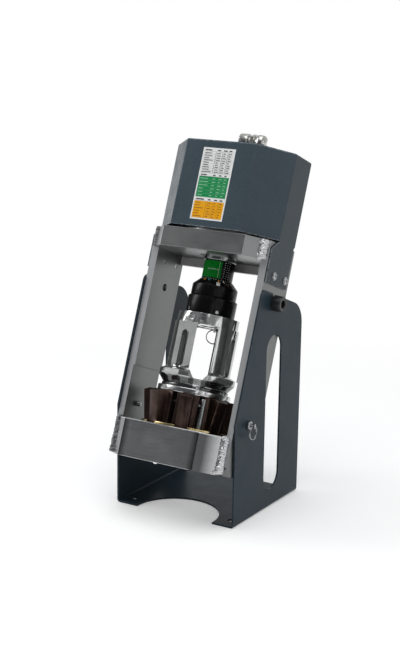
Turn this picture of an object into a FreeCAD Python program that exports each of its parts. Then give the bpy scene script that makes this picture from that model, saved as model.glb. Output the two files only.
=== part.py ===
import FreeCAD, Part
import Sketcher
import math
import os

# Portable hydraulic hose crimper: a tilted press head in a folded sheet stand.
# Row frame: +Z up, origin on the floor in the middle of the four bench-bolt holes, front towards -Y.
# The press head is drawn upright about its own axis, with the pivot screws at height 0, and then leaned back.

SIZES = {
    # Stand, one folded sheet
    "stand_width": 212.0,
    "stand_depth": 203.0,
    "stand_sheet": 3.0,
    "stand_bend": 2.5,
    "knee_height": 160.5,
    "stand_above_pivot": 13.5,
    "front_corner_round": 11.0,
    "rear_corner_round": 40.0,
    "side_slot_width": 47.0,
    "side_slot_middle": 114.0,
    "side_slot_low": 31.0,
    "side_slot_high": 278.0,
    "notch_clearance": 0.2,
    "base_cutout_radius": 68.0,
    "base_cutout_centre": 3.5,
    "base_hole_radius": 4.5,
    "base_hole_spread": 175.0,
    "base_hole_front": 23.0,
    "base_hole_rear": 180.0,
    # Where the head hangs in the stand
    "pivot_depth": 109.4,
    "pivot_height": 328.0,
    "lean": 20.7,
    "side_gap": 0.3,
    # Side plates of the head
    "plate_thickness": 12.0,
    "plate_depth": 80.0,
    "plate_corner": 14.0,
    "relief_depth": 2.5,
    "relief_top": 130.0,
    # Top plate and the cross bar under it
    "top_plate_height": 57.0,
    "top_plate_thickness": 31.0,
    "top_plate_front": 69.0,
    "top_plate_corner": 18.7,
    "cross_bar_height": 13.5,
    "cross_bar_thickness": 8.0,
    "weld_reach": 11.0,
    # Die bowl
    "bowl_drop": 212.8,
    "bowl_height": 57.5,
    "bowl_front": 76.0,
    "bowl_corner": 25.0,
    "mouth_radius": 67.2,
    "cone_angle": 11.3,
    "mouth_chamfer": 1.2,
    # Dies
    "stroke": 50.0,
    "die_drop": 160.0,
    "die_height": 60.0,
    "die_bore_radius": 10.0,
    "die_shoulder_radius": 46.0,
    "die_gap_angle": 1.0,
    "rib_width": 19.5,
    "rib_bevel": 4.0,
    "cone_clearance": 0.3,
    "die_tooth": 1.0,
    # Springs that open the dies
    "spring_radius": 2.6,
    "spring_circle": 34.0,
    "spring_height": 46.0,
    "spring_seat": 8.0,
    "spring_reach": 9.5,
    "spring_clearance": 0.4,
    # Guides and posts between the dies
    "guide_inner": 60.5,
    "guide_outer": 71.5,
    "guide_height": 5.0,
    "guide_sink": 1.5,
    "guide_clearance": 0.35,
    "post_circle": 66.5,
    "post_radius": 3.9,
    "post_height": 45.5,
    # Pusher and pressure ring
    "ring_radius": 57.0,
    "ring_bore_radius": 38.0,
    "ring_thickness": 9.0,
    "ring_edge": 1.0,
    "pusher_turn": 31.4,
    "pusher_drop": 35.0,
    "pusher_head_radius": 47.5,
    "pusher_head_height": 16.0,
    "pusher_radius": 50.0,
    "pusher_bore_radius": 37.0,
    "foot_radius": 52.0,
    "foot_height": 4.0,
    "flange_radius": 60.5,
    "flange_height": 7.0,
    "flange_above_foot": 17.0,
    "flange_facet": 58.5,
    "flange_gap": 24.0,
    "window_width": 32.4,
    "window_top": 17.0,
    "window_low": 16.0,
    "window_taper": 13.0,
    "window_tip": 14.0,
    "window_round": 5.0,
    "leg_flat": 46.5,
    "leg_flat_angle": 40.0,
    "leg_flat_width": 50.0,
    "leg_slot_width": 13.0,
    "left_slot_angle": 43.0,
    "right_slot_angle": 59.0,
    "leg_slot_top": 28.5,
    "leg_slot_length": 59.0,
    "slit_width": 3.5,
    "slit_depth": 7.0,
    "mark_radius": 3.8,
    "mark_depth": 2.0,
    "mark_drop": 8.0,
    # Ram, sleeve and adjuster
    "drum_radius": 38.5,
    "drum_height": 28.0,
    "dial_radius": 35.5,
    "dial_height": 29.0,
    "dial_bevel": 11.0,
    "sleeve_radius": 24.0,
    "rod_radius": 20.0,
    "spigot_radius": 12.0,
    "spigot_length": 12.0,
    "gland_radius": 34.0,
    "collar_radius": 26.0,
    "collar_drop": 6.0,
    "running_gap": 0.05,
    "drum_screw_radius": 2.5,
    "drum_screw_length": 14.0,
    # Cylinder
    "barrel_radius": 63.0,
    "barrel_bore_radius": 50.0,
    "barrel_height": 112.0,
    "cap_height": 16.0,
    "piston_height": 20.0,
    "piston_stud_radius": 14.0,
    "seal_width": 6.0,
    "seal_depth": 4.0,
    # Cover
    "cover_sheet": 2.0,
    "cover_front": 69.0,
    "cover_clearance": 0.9,
    "cover_corner_width": 45.1,
    "cover_side_front": 21.0,
    "cover_side_rear": 33.0,
    "cover_rear": 78.0,
    "cover_gap": 4.0,
    "cover_height": 135.0,
    "cover_bend": 3.0,
    "skirt_drop": 66.4,
    "skirt_front": 39.0,
    "skirt_corner": 16.0,
    "cover_screw_rise": 12.7,
    "cover_screw_front": 16.0,
    "cover_screw_rear": 21.5,
    "screw_head_radius": 5.5,
    "screw_head_height": 3.3,
    "screw_radius": 3.0,
    "screw_length": 14.0,
    # Inlet elbow and coupler
    "port_side": 13.0,
    "port_back": 28.0,
    "inlet_rise": 36.5,
    "elbow_radius": 8.0,
    "knuckle_radius": 9.6,
    "elbow_nut": 22.0,
    "elbow_nut_height": 8.0,
    "elbow_thread_length": 10.0,
    "elbow_arm": 9.5,
    "cover_port_radius": 16.0,
    "coupler_hex": 20.0,
    "coupler_hex_length": 6.0,
    "coupler_collar_radius": 11.5,
    "coupler_collar_length": 15.5,
    "coupler_core_radius": 8.5,
    "coupler_core_length": 20.5,
    "coupler_bore_radius": 5.0,
    "coupler_bore_depth": 12.0,
    "coupler_clearance": 0.3,
    # Pivot screws and index pins
    "pivot_head_radius": 12.0,
    "pivot_head_length": 16.0,
    "pivot_shoulder_radius": 7.5,
    "pivot_thread_radius": 6.0,
    "pivot_socket": 12.0,
    "pivot_socket_depth": 8.0,
    "index_drop": 188.0,
    "index_forward": 5.0,
    "index_radius": 4.0,
    "index_clearance": 0.1,
    "index_tip": 3.0,
    "index_hub_radius": 6.5,
    "index_hub_length": 5.0,
    "index_eye_length": 7.0,
    "index_eye_thickness": 3.0,
    "index_eye_height": 7.0,
    "eye_hole_radius": 1.9,
    "ring_wire_radius": 1.2,
    "index_ring_radius": 10.5,
    # Pull-ring pin that locks the pusher on the rod
    "pusher_pin_side": 11.5,
    "pusher_pin_forward": 21.0,
    "pusher_pin_radius": 3.0,
    "pusher_pin_length": 12.0,
    "pusher_hub_radius": 6.0,
    "pusher_hub_height": 1.5,
    "pusher_ring_radius": 10.7,
    "pusher_ring_hang": 17.9,
}

DIE_COUNT = 8
DIE_START = 22.5


class Size:
    """A number together with the sheet formula that gives it."""

    def __init__(self, value, formula):
        self.value = value
        self.formula = formula

    def join(self, other, sign, swapped=False):
        first, second = (as_size(other), self) if swapped else (self, as_size(other))
        results = {
            "+": lambda a, b: a + b,
            "-": lambda a, b: a - b,
            "*": lambda a, b: a * b,
            "/": lambda a, b: a / b,
        }
        formula = "(" + first.formula + " " + sign + " " + second.formula + ")"
        return Size(results[sign](first.value, second.value), formula)

    def __add__(self, other):
        return self.join(other, "+")

    def __radd__(self, other):
        return self.join(other, "+", True)

    def __sub__(self, other):
        return self.join(other, "-")

    def __rsub__(self, other):
        return self.join(other, "-", True)

    def __mul__(self, other):
        return self.join(other, "*")

    def __rmul__(self, other):
        return self.join(other, "*", True)

    def __truediv__(self, other):
        return self.join(other, "/")

    def __neg__(self):
        return Size(-self.value, "(-" + self.formula + ")")


class Sheet:
    """The driving dimensions, as cells of a spreadsheet and as attributes here."""

    def __init__(self, document, values):
        cells = document.addObject("Spreadsheet::Sheet", "Sizes")
        for row, (name, value) in enumerate(values.items(), start=1):
            cells.set("A%d" % row, name)
            cells.set("B%d" % row, str(value))
            cells.setAlias("B%d" % row, name)
            setattr(self, name, Size(value, "Sizes." + name))


def as_size(value):
    if isinstance(value, Size):
        return value
    return Size(float(value), "(%r)" % float(value))


def sine(angle):
    angle = as_size(angle)
    return Size(math.sin(math.radians(angle.value)), "sin(" + angle.formula + ")")


def cosine(angle):
    angle = as_size(angle)
    return Size(math.cos(math.radians(angle.value)), "cos(" + angle.formula + ")")


def tangent(angle):
    return sine(angle) / cosine(angle)


def place(x=0, y=0, z=0, axis=(0, 0, 1), angle=0):
    """Formula of a placement: a turn about an axis, then a move."""
    spot = "; ".join(as_size(part).formula for part in (x, y, z))
    line = "; ".join(str(part) for part in axis)
    return "placement(vector(%s); rotation(vector(%s); %s))" % (spot, line, as_size(angle).formula)


document = FreeCAD.newDocument("HoseCrimper")
size = Sheet(document, SIZES)
document.recompute()
nodes = []

# Places that several pieces share, in the upright frame of the head.
origin_depth = (size.base_hole_front + size.base_hole_rear) / 2
plate_outer = size.stand_width / 2 - size.stand_sheet - size.side_gap
plate_inner = plate_outer - size.plate_thickness
top_plate_top = size.top_plate_height + size.top_plate_thickness
bowl_top = -size.bowl_drop
bowl_low = bowl_top - size.bowl_height
die_top = -size.die_drop
ring_top = die_top + size.ring_thickness
pusher_top = -size.pusher_drop
head_low = pusher_top - size.pusher_head_height
drum_top = pusher_top + size.drum_height
dial_top = drum_top + size.dial_height
gland_low = size.top_plate_height - size.collar_drop
barrel_top = top_plate_top + size.barrel_height
cap_top = barrel_top + size.cap_height
cover_low = top_plate_top + size.cover_gap
cover_top = cover_low + size.cover_height
cover_half = plate_outer + size.cover_clearance + size.cover_sheet
cover_front_half = cover_half - size.cover_corner_width
skirt_low = cover_low - size.skirt_drop
cover_screw_height = skirt_low + size.cover_screw_rise
inlet_height = cap_top + size.inlet_rise
closing = size.stroke * tangent(size.cone_angle)

stand_place = place(0, -origin_depth, 0)
head_place = place(0, size.pivot_depth - origin_depth, size.pivot_height, (1, 0, 0), -size.lean)


# Drawing helpers

def new_body(name, formula=None):
    body = document.addObject("PartDesign::Body", name)
    body.Label = name
    if formula:
        body.setExpression("Placement", formula)
    return body


def new_sketch(body, name, plane, offset=0, turn=0):
    """A sketch on one of the body's own planes, moved along its normal and turned about its upright axis."""
    sketch = body.newObject("Sketcher::SketchObject", name)
    origin_plane = [item for item in body.Origin.OriginFeatures if item.Role == plane][0]
    sketch.AttachmentSupport = [(origin_plane, "")]
    sketch.MapMode = "FlatFace"
    turned = place(0, 0, 0, (0, 1, 0), turn)
    moved = place(0, 0, offset)
    sketch.setExpression("AttachmentOffset", turned + " * " + moved)
    return sketch


def pin_point(sketch, shape, point, across, along):
    """Hold one point of a sketch at two sheet formulas."""
    for kind, distance in (("DistanceX", as_size(across)), ("DistanceY", as_size(along))):
        held = sketch.addConstraint(Sketcher.Constraint(kind, -1, 1, shape, point, distance.value))
        sketch.setExpression("Constraints[%d]" % held, distance.formula)


def draw_outline(sketch, corners):
    corners = [(as_size(across), as_size(along)) for across, along in corners]
    first = sketch.GeometryCount
    spots = [FreeCAD.Vector(across.value, along.value, 0) for across, along in corners]
    for start, end in zip(spots, spots[1:] + spots[:1]):
        sketch.addGeometry(Part.LineSegment(start, end))
    for index, (across, along) in enumerate(corners):
        following = (index + 1) % len(corners)
        sketch.addConstraint(Sketcher.Constraint("Coincident", first + index, 2, first + following, 1))
    for index, (across, along) in enumerate(corners):
        pin_point(sketch, first + index, 1, across, along)


def draw_rectangle(sketch, left, low, right, high):
    draw_outline(sketch, [(left, low), (right, low), (right, high), (left, high)])


def draw_circle(sketch, across, along, radius):
    across, along, radius = as_size(across), as_size(along), as_size(radius)
    centre = FreeCAD.Vector(across.value, along.value, 0)
    shape = sketch.addGeometry(Part.Circle(centre, FreeCAD.Vector(0, 0, 1), radius.value))
    held = sketch.addConstraint(Sketcher.Constraint("Radius", shape, radius.value))
    sketch.setExpression("Constraints[%d]" % held, radius.formula)
    pin_point(sketch, shape, 3, across, along)


def draw_slot(sketch, across, low, high, radius):
    """An upright obround slot between two end centres."""
    across, low, high, radius = as_size(across), as_size(low), as_size(high), as_size(radius)
    bottom = FreeCAD.Vector(across.value, low.value, 0)
    top = FreeCAD.Vector(across.value, high.value, 0)
    reach = FreeCAD.Vector(radius.value, 0, 0)
    upward = FreeCAD.Vector(0, 0, 1)
    lower = sketch.addGeometry(Part.ArcOfCircle(Part.Circle(bottom, upward, radius.value), math.pi, 2 * math.pi))
    right = sketch.addGeometry(Part.LineSegment(bottom + reach, top + reach))
    upper = sketch.addGeometry(Part.ArcOfCircle(Part.Circle(top, upward, radius.value), 0, math.pi))
    left = sketch.addGeometry(Part.LineSegment(top - reach, bottom - reach))
    for first, end, second, start in ((lower, 2, right, 1), (right, 2, upper, 1), (upper, 2, left, 1), (left, 2, lower, 1)):
        sketch.addConstraint(Sketcher.Constraint("Coincident", first, end, second, start))
    pin_point(sketch, lower, 3, across, low)
    pin_point(sketch, upper, 3, across, high)
    for arc in (lower, upper):
        held = sketch.addConstraint(Sketcher.Constraint("Radius", arc, radius.value))
        sketch.setExpression("Constraints[%d]" % held, radius.formula)
        for end in (1, 2):
            sketch.addConstraint(Sketcher.Constraint("Horizontal", arc, end, arc, 3))


def pad(body, sketch, length, reverse=False, both=False):
    feature = body.newObject("PartDesign::Pad", sketch.Name + "_pad")
    feature.Profile = sketch
    feature.setExpression("Length", as_size(length).formula)
    feature.Reversed = reverse
    feature.Midplane = both
    return feature


def cut(body, sketch, length, reverse=False, both=False):
    """A pocket that must take material away."""
    document.recompute()
    before = body.Shape.Volume
    feature = body.newObject("PartDesign::Pocket", sketch.Name + "_pocket")
    feature.Profile = sketch
    feature.setExpression("Length", as_size(length).formula)
    feature.Reversed = reverse
    feature.Midplane = both
    document.recompute()
    if body.Shape.Volume > before - 1e-6:
        raise RuntimeError(feature.Name + " removes nothing")
    return feature


def turn(body, name, corners, angle=360, remove=False):
    """A revolved profile about the upright axis, added or taken away."""
    sketch = new_sketch(body, name, "XZ_Plane")
    draw_outline(sketch, corners)
    kind = "PartDesign::Groove" if remove else "PartDesign::Revolution"
    feature = body.newObject(kind, name + "_turned")
    feature.Profile = sketch
    feature.ReferenceAxis = (sketch, ["V_Axis"])
    feature.setExpression("Angle", as_size(angle).formula)
    feature.Midplane = not remove
    return feature


def repeat(body, feature, count):
    """The feature again, evenly spaced about the upright axis."""
    pattern = body.newObject("PartDesign::PolarPattern", feature.Name + "_around")
    pattern.Originals = [feature]
    upright = [item for item in body.Origin.OriginFeatures if item.Role == "Z_Axis"][0]
    pattern.Axis = (upright, [""])
    pattern.Angle = 360
    pattern.Occurrences = count
    body.Tip = pattern
    return pattern


def straight_edges(feature, direction, spots):
    """Names of the straight edges along an axis that pass through any of the given spots."""
    rest = [index for index in range(3) if index != "XYZ".index(direction)]
    names = []
    for number, edge in enumerate(feature.Shape.Edges, start=1):
        if edge.Curve.TypeId != "Part::GeomLine":
            continue
        along = edge.tangentAt(edge.FirstParameter)
        if abs(abs(along["XYZ".index(direction)]) - 1) > 1e-6:
            continue
        middle = edge.CenterOfMass
        for spot in spots:
            if all(abs(middle[axis] - as_size(place).value) < 0.01 for axis, place in zip(rest, spot)):
                names.append("Edge%d" % number)
                break
    return names


def round_edges(body, feature, name, edges, radius):
    document.recompute()
    rounding = body.newObject("PartDesign::Fillet", name)
    rounding.Base = (feature, edges)
    rounding.setExpression("Radius", as_size(radius).formula)
    return rounding


def bevel_edges(body, feature, name, edges, width):
    document.recompute()
    bevel = body.newObject("PartDesign::Chamfer", name)
    bevel.Base = (feature, edges)
    bevel.setExpression("Size", as_size(width).formula)
    return bevel


def solid(kind, name, formula, **measures):
    """A ready-made solid with its sizes bound to formulas."""
    item = document.addObject("Part::" + kind, name)
    for measure, value in measures.items():
        if measure == "Polygon":
            item.Polygon = value
        else:
            item.setExpression(measure, as_size(value).formula)
    item.setExpression("Placement", formula)
    return item


def combine(kind, name, pieces, formula=None):
    item = document.addObject("Part::" + kind, name)
    if kind == "Cut":
        item.Base, item.Tool = pieces
    elif kind == "Compound":
        item.Links = pieces
    else:
        item.Shapes = pieces
    if formula:
        item.setExpression("Placement", formula)
    return item


def keep(item, name):
    """Mark an object as one node of the finished part."""
    item.Label = name
    nodes.append(item)
    return item


# Stand: one sheet folded into a floor and two tall side plates

def make_stand():
    body = new_body("stand_frame", stand_place)
    lean_sine, lean_cosine = sine(size.lean), cosine(size.lean)
    rise = size.stand_above_pivot + size.pivot_depth * lean_sine + (size.pivot_height - size.knee_height) * lean_cosine
    front_top = (rise * lean_sine, size.knee_height + rise * lean_cosine)
    back = (size.stand_depth - size.pivot_depth - size.stand_above_pivot * lean_sine) / lean_cosine
    rear_top = (size.stand_depth, size.pivot_height + size.stand_above_pivot * lean_cosine - back * lean_sine)
    side = new_sketch(body, "side_outline", "YZ_Plane")
    draw_outline(side, [(0, 0), (0, size.knee_height), front_top, rear_top, (size.stand_depth, 0)])
    block = pad(body, side, size.stand_width, both=True)
    document.recompute()
    block = round_edges(body, block, "front_corners", straight_edges(block, "X", [front_top]), size.front_corner_round)
    document.recompute()
    block = round_edges(body, block, "rear_corners", straight_edges(block, "X", [rear_top]), size.rear_corner_round)
    document.recompute()
    half = size.stand_width / 2
    folds = straight_edges(block, "Y", [(half, 0), (-half, 0)])
    round_edges(body, block, "folds", folds, size.stand_bend + size.stand_sheet)
    inside = new_sketch(body, "inside", "XZ_Plane", 10)
    inner = half - size.stand_sheet
    draw_rectangle(inside, -inner, size.stand_sheet, inner, size.pivot_height * 2)
    hollow = cut(body, inside, size.stand_depth + 20)
    inner_folds = straight_edges(hollow, "Y", [(inner, size.stand_sheet), (-inner, size.stand_sheet)])
    round_edges(body, hollow, "inner_folds", inner_folds, size.stand_bend)
    cutout = new_sketch(body, "floor_cutout", "XY_Plane")
    draw_circle(cutout, 0, size.base_cutout_centre, size.base_cutout_radius)
    for side_sign in (-1, 1):
        for depth in (size.base_hole_front, size.base_hole_rear):
            draw_circle(cutout, size.base_hole_spread / 2 * side_sign, depth, size.base_hole_radius)
    cut(body, cutout, size.stand_sheet, reverse=True)
    slot = new_sketch(body, "side_slots", "YZ_Plane")
    slot_radius = size.side_slot_width / 2
    draw_slot(slot, size.side_slot_middle, size.side_slot_low + slot_radius,
              size.side_slot_high - slot_radius, slot_radius)
    cut(body, slot, size.stand_width + 2, both=True)
    index = new_sketch(body, "index_holes", "YZ_Plane")
    index_y, index_z = index_spot()
    draw_circle(index, index_y, index_z, size.index_radius + size.index_clearance)
    cut(body, index, size.stand_width + 2, both=True)
    seat = new_sketch(body, "pivot_seats", "YZ_Plane")
    notch = size.pivot_shoulder_radius + size.notch_clearance
    draw_circle(seat, size.pivot_depth, size.pivot_height, notch)
    cut(body, seat, size.stand_width + 2, both=True)
    mouth = new_sketch(body, "pivot_notches", "YZ_Plane")
    reach = size.stand_above_pivot * 2
    corners = []
    for across, up in ((-1, 0), (1, 0), (1, 1), (-1, 1)):
        corner_y = size.pivot_depth + notch * across * lean_cosine + reach * up * lean_sine
        corner_z = size.pivot_height - notch * across * lean_sine + reach * up * lean_cosine
        corners.append((corner_y, corner_z))
    draw_outline(mouth, corners)
    cut(body, mouth, size.stand_width + 2, both=True)
    keep(body, "stand_frame")


def index_spot():
    """Where the index pins cross the stand, in the stand's side view."""
    lean_sine, lean_cosine = sine(size.lean), cosine(size.lean)
    spot_y = size.pivot_depth - size.index_forward * lean_cosine - size.index_drop * lean_sine
    spot_z = size.pivot_height + size.index_forward * lean_sine - size.index_drop * lean_cosine
    return spot_y, spot_z


# Press frame: two flat bars, a top plate, a die bowl and a cross bar, welded together

def make_side_plate(name, side):
    body = new_body(name, head_place)
    outline = new_sketch(body, name + "_outline", "YZ_Plane", plate_outer * side)
    half = size.plate_depth / 2
    corner = size.plate_corner
    draw_outline(outline, [
        (-half + corner, bowl_low), (half - corner, bowl_low), (half, bowl_low + corner),
        (half, top_plate_top), (-half, top_plate_top), (-half, bowl_low + corner),
    ])
    pad(body, outline, size.plate_thickness, reverse=side > 0)
    relief = new_sketch(body, name + "_relief", "YZ_Plane", plate_inner * side)
    draw_rectangle(relief, -half, bowl_top, half, -size.relief_top)
    cut(body, relief, size.relief_depth, reverse=side > 0)
    holes = new_sketch(body, name + "_holes", "YZ_Plane", plate_outer * side)
    draw_circle(holes, 0, 0, size.pivot_thread_radius)
    draw_circle(holes, -size.index_forward, -size.index_drop, size.index_radius + size.index_clearance)
    for across in (-size.cover_screw_front, size.cover_screw_rear):
        draw_circle(holes, across, cover_screw_height, size.screw_radius)
    cut(body, holes, size.plate_thickness, reverse=side < 0)
    keep(body, name)


def plate_outline(front, corner, rear, rear_corner):
    """Plan of a plate between the side plates, with its free corners cut off."""
    points = []
    for side in (-1, 1):
        half = [(plate_inner * side, -front + corner), ((plate_inner - corner) * side, -front)]
        points += half if side < 0 else half[::-1]
    if rear_corner:
        points += [(plate_inner, rear - rear_corner), (plate_inner - rear_corner, rear)]
        points += [(-plate_inner + rear_corner, rear), (-plate_inner, rear - rear_corner)]
    else:
        points += [(plate_inner, rear), (-plate_inner, rear)]
    return points


def make_top_plate():
    body = new_body("top_plate", head_place)
    plan = new_sketch(body, "top_plate_plan", "XY_Plane", size.top_plate_height)
    draw_outline(plan, plate_outline(size.top_plate_front, size.top_plate_corner, size.plate_depth / 2, None))
    pad(body, plan, size.top_plate_thickness)
    bore = new_sketch(body, "gland_bore", "XY_Plane", size.top_plate_height)
    draw_circle(bore, 0, 0, size.gland_radius)
    cut(body, bore, size.top_plate_thickness, reverse=True)
    keep(body, "top_plate")


def cone_radius(height):
    """Radius of the bowl's conical bore at a height of the head."""
    return size.mouth_radius + (height - bowl_top) * tangent(size.cone_angle)


def make_bowl():
    body = new_body("die_bowl", head_place)
    plan = new_sketch(body, "bowl_plan", "XY_Plane", bowl_low)
    draw_outline(plan, plate_outline(size.bowl_front, size.bowl_corner, size.bowl_front, size.bowl_corner))
    pad(body, plan, size.bowl_height)
    seat = bowl_top - size.guide_sink
    edge = size.mouth_chamfer
    turn(body, "cone", [
        (0, bowl_low - 1), (cone_radius(bowl_low - 1), bowl_low - 1), (cone_radius(seat - edge), seat - edge),
        (cone_radius(seat) + edge, seat), (size.guide_outer, seat), (size.guide_outer, bowl_top + 1),
        (0, bowl_top + 1),
    ], remove=True)
    keep(body, "die_bowl")


def make_cross_bar():
    bar = solid("Box", "rear_cross_bar", head_place + " * " + place(
        -plate_inner, size.plate_depth / 2 - size.cross_bar_thickness, size.top_plate_height - size.cross_bar_height),
        Length=plate_inner * 2, Width=size.cross_bar_thickness, Height=size.cross_bar_height)
    keep(bar, "rear_cross_bar")


def make_weld(name, side, front, low, height):
    """A rounded fillet bead in the corner between a side plate's edge and a plate that stands proud of it."""
    body = new_body(name)
    plan = new_sketch(body, name + "_plan", "XY_Plane", low)
    edge = size.plate_depth / 2 * front
    reach = size.weld_reach
    draw_outline(plan, [
        (plate_inner * side, edge), (plate_outer * side, edge),
        ((plate_outer - 0.1 * reach) * side, edge + 0.45 * reach * front),
        ((plate_outer - 0.55 * reach) * side, edge + 0.9 * reach * front),
        (plate_inner * side, edge + reach * front),
    ])
    pad(body, plan, height)
    return body


def make_welds():
    beads = []
    for side, word in ((-1, "left"), (1, "right")):
        beads.append(make_weld("top_weld_" + word, side, -1, size.top_plate_height, size.top_plate_thickness))
        seam = bowl_low + size.plate_corner
        for front, place_word in ((-1, "front"), (1, "rear")):
            name = place_word + "_weld_" + word
            beads.append(make_weld(name, side, front, seam, size.bowl_height - size.plate_corner))
    keep(combine("Compound", "weld_beads", beads, head_place), "weld_beads")


# Screws and pins that carry the head in the stand

def make_pivot_screws():
    screws = []
    for side, word in ((-1, "left"), (1, "right")):
        formula = place(plate_outer * side, 0, 0, (0, side, 0), 90)
        body = new_body("pivot_screw_" + word, formula)
        shoulder = size.side_gap + size.stand_sheet
        head = shoulder + size.pivot_head_length
        turn(body, "pivot_screw_profile_" + word, [
            (0, -size.plate_thickness), (size.pivot_thread_radius, -size.plate_thickness),
            (size.pivot_thread_radius, 0), (size.pivot_shoulder_radius, 0),
            (size.pivot_shoulder_radius, shoulder), (size.pivot_head_radius, shoulder),
            (size.pivot_head_radius, head - 1), (size.pivot_head_radius - 1, head), (0, head),
        ])
        socket = new_sketch(body, "pivot_socket_" + word, "XY_Plane", head)
        corner = size.pivot_socket / 2 / cosine(30)
        draw_outline(socket, [(corner * cosine(60 * k), corner * sine(60 * k)) for k in range(6)])
        cut(body, socket, size.pivot_socket_depth)
        screws.append(body)
    keep(combine("Compound", "pivot_screws", screws, head_place), "pivot_screws")


def make_pull_ring(name, formula, radius):
    """A split ring: a wire of eight-sided section turned about the ring's own axis."""
    body = new_body(name, formula)
    reach = size.ring_wire_radius / cosine(22.5)
    turn(body, name + "_wire", [
        (radius + reach * cosine(45 * k + 22.5), reach * sine(45 * k + 22.5)) for k in range(8)])
    keep(body, name)


def make_index_pin(side, word):
    index_y, index_z = index_spot()
    start = plate_inner - size.index_tip
    spot = place(start * side, index_y - origin_depth, index_z, (0, side, 0), 90)
    shank = size.plate_thickness + size.index_tip + size.side_gap + size.stand_sheet
    body = new_body("index_pin_" + word, spot)
    hub = shank + size.index_hub_length
    turn(body, "index_pin_profile_" + word, [
        (0, 0), (size.index_radius - 1, 0), (size.index_radius, 1), (size.index_radius, shank),
        (size.index_hub_radius, shank), (size.index_hub_radius, hub - 1), (size.index_hub_radius - 1, hub), (0, hub),
    ])
    eye = new_sketch(body, "index_eye_" + word, "XY_Plane", hub)
    draw_rectangle(eye, -size.index_eye_height / 2, -size.index_eye_thickness / 2,
                   size.index_eye_height / 2, size.index_eye_thickness / 2)
    pad(body, eye, size.index_eye_length)
    hole = new_sketch(body, "index_eye_hole_" + word, "XZ_Plane")
    draw_circle(hole, 0, hub + size.index_eye_length / 2, size.eye_hole_radius)
    cut(body, hole, size.index_eye_thickness + 2, both=True)
    keep(body, "index_pin_" + word)
    eye_place = start + hub + size.index_eye_length / 2
    make_pull_ring("pin_ring_" + word, place(
        eye_place * side, index_y - origin_depth, index_z - size.index_ring_radius, (0, 1, 0), 90),
        size.index_ring_radius)


# Die set: guides and posts on the bowl, eight dies with a spring between each pair

def make_guides():
    body = new_body("die_guides", head_place)
    seat = bowl_top - size.guide_sink
    turn(body, "guide_profile", [
        (size.guide_inner, seat), (size.guide_outer, seat),
        (size.guide_outer, seat + size.guide_height), (size.guide_inner, seat + size.guide_height),
    ])
    gate = new_sketch(body, "guide_gates", "XY_Plane", seat)
    half = size.rib_width / 2 + size.guide_clearance
    first = DIE_START - 90
    reach = size.guide_outer + 5
    corners = []
    for along, across in ((0, -1), (reach, -1), (reach, 1), (0, 1)):
        corner_x = along * cosine(first) - half * across * sine(first)
        corner_y = along * sine(first) + half * across * cosine(first)
        corners.append((corner_x, corner_y))
    draw_outline(gate, corners)
    gates = cut(body, gate, size.guide_height, reverse=True)
    repeat(body, gates, DIE_COUNT)
    keep(body, "die_guides")
    posts = []
    for number, angle in enumerate((45, 225), start=1):
        posts.append(solid("Cylinder", "guide_post_%d" % number, place(
            size.post_circle * sine(angle), -size.post_circle * cosine(angle), seat + size.guide_height),
            Radius=size.post_radius, Height=size.post_height))
    keep(combine("Compound", "guide_posts", posts, head_place), "guide_posts")


def make_die(number):
    """One die, drawn about the press axis as it stands when the dies are closed, foot at height 0."""
    angle = DIE_START + 360 / DIE_COUNT * number - 90
    formula = head_place + " * " + place(
        closing * cosine(angle), closing * sine(angle), die_top - size.die_height, (0, 0, 1), angle)
    name = "die_%d" % (number + 1)
    body = new_body(name, formula)
    tooth = size.die_tooth
    rows = 3
    face = []
    for row in range(rows):
        middle = size.die_height * (row + 1) / (rows + 1)
        face += [(size.die_bore_radius, middle + 2 * tooth), (size.die_bore_radius + tooth, middle + tooth),
                 (size.die_bore_radius + tooth, middle - tooth), (size.die_bore_radius, middle - 2 * tooth)]
    spread = 360 / DIE_COUNT - size.die_gap_angle
    turn(body, name + "_wedge", [
        (size.die_bore_radius + tooth, 0), (size.die_shoulder_radius, 0),
        (size.die_shoulder_radius, size.die_height), (size.die_bore_radius + tooth, size.die_height),
        (size.die_bore_radius, size.die_height - tooth),
    ] + sorted(face, key=lambda spot: -as_size(spot[1]).value) + [(size.die_bore_radius, tooth)], angle=spread)
    rib = new_sketch(body, name + "_rib", "XY_Plane")
    draw_rectangle(rib, size.die_shoulder_radius - 8, -size.rib_width / 2, size.mouth_radius + 10, size.rib_width / 2)
    pad(body, rib, size.die_height)
    closed_foot = die_top - size.die_height - size.stroke
    gap = size.cone_clearance / cosine(size.cone_angle)
    foot_radius = cone_radius(closed_foot) - gap
    top_radius = cone_radius(closed_foot + size.die_height) - gap
    bevel = size.rib_bevel
    far = size.mouth_radius + 20
    turn(body, name + "_cone", [
        (foot_radius - tangent(size.cone_angle), -1), (far, -1), (far, size.die_height + 1),
        (top_radius - bevel * 2, size.die_height + 1), (top_radius - bevel * 2, size.die_height),
        (top_radius - bevel * tangent(size.cone_angle), size.die_height - bevel),
    ], remove=True)
    slant = 180 / DIE_COUNT
    for side, depth, radius in (
            (1, size.spring_seat, size.spring_radius),
            (-1, size.spring_reach + 1.5, size.spring_radius + size.spring_clearance)):
        word = "seat" if side > 0 else "socket"
        hole = new_sketch(body, name + "_spring_" + word, "XZ_Plane", 0, slant * side)
        draw_circle(hole, size.spring_circle, size.spring_height, radius)
        cut(body, hole, depth, reverse=side > 0)
    keep(body, name)
    seat_place = place(
        size.spring_circle * cosine(slant) + size.spring_seat * sine(slant),
        size.spring_circle * sine(slant) - size.spring_seat * cosine(slant),
        size.spring_height, (0, 0, 1), slant)
    upright = place(0, 0, 0, (1, 0, 0), -90)
    spring = solid("Cylinder", "die_spring_%d" % (number + 1), formula + " * " + seat_place + " * " + upright,
                   Radius=size.spring_radius, Height=size.spring_seat + size.spring_reach)
    keep(spring, "die_spring_%d" % (number + 1))


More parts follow.
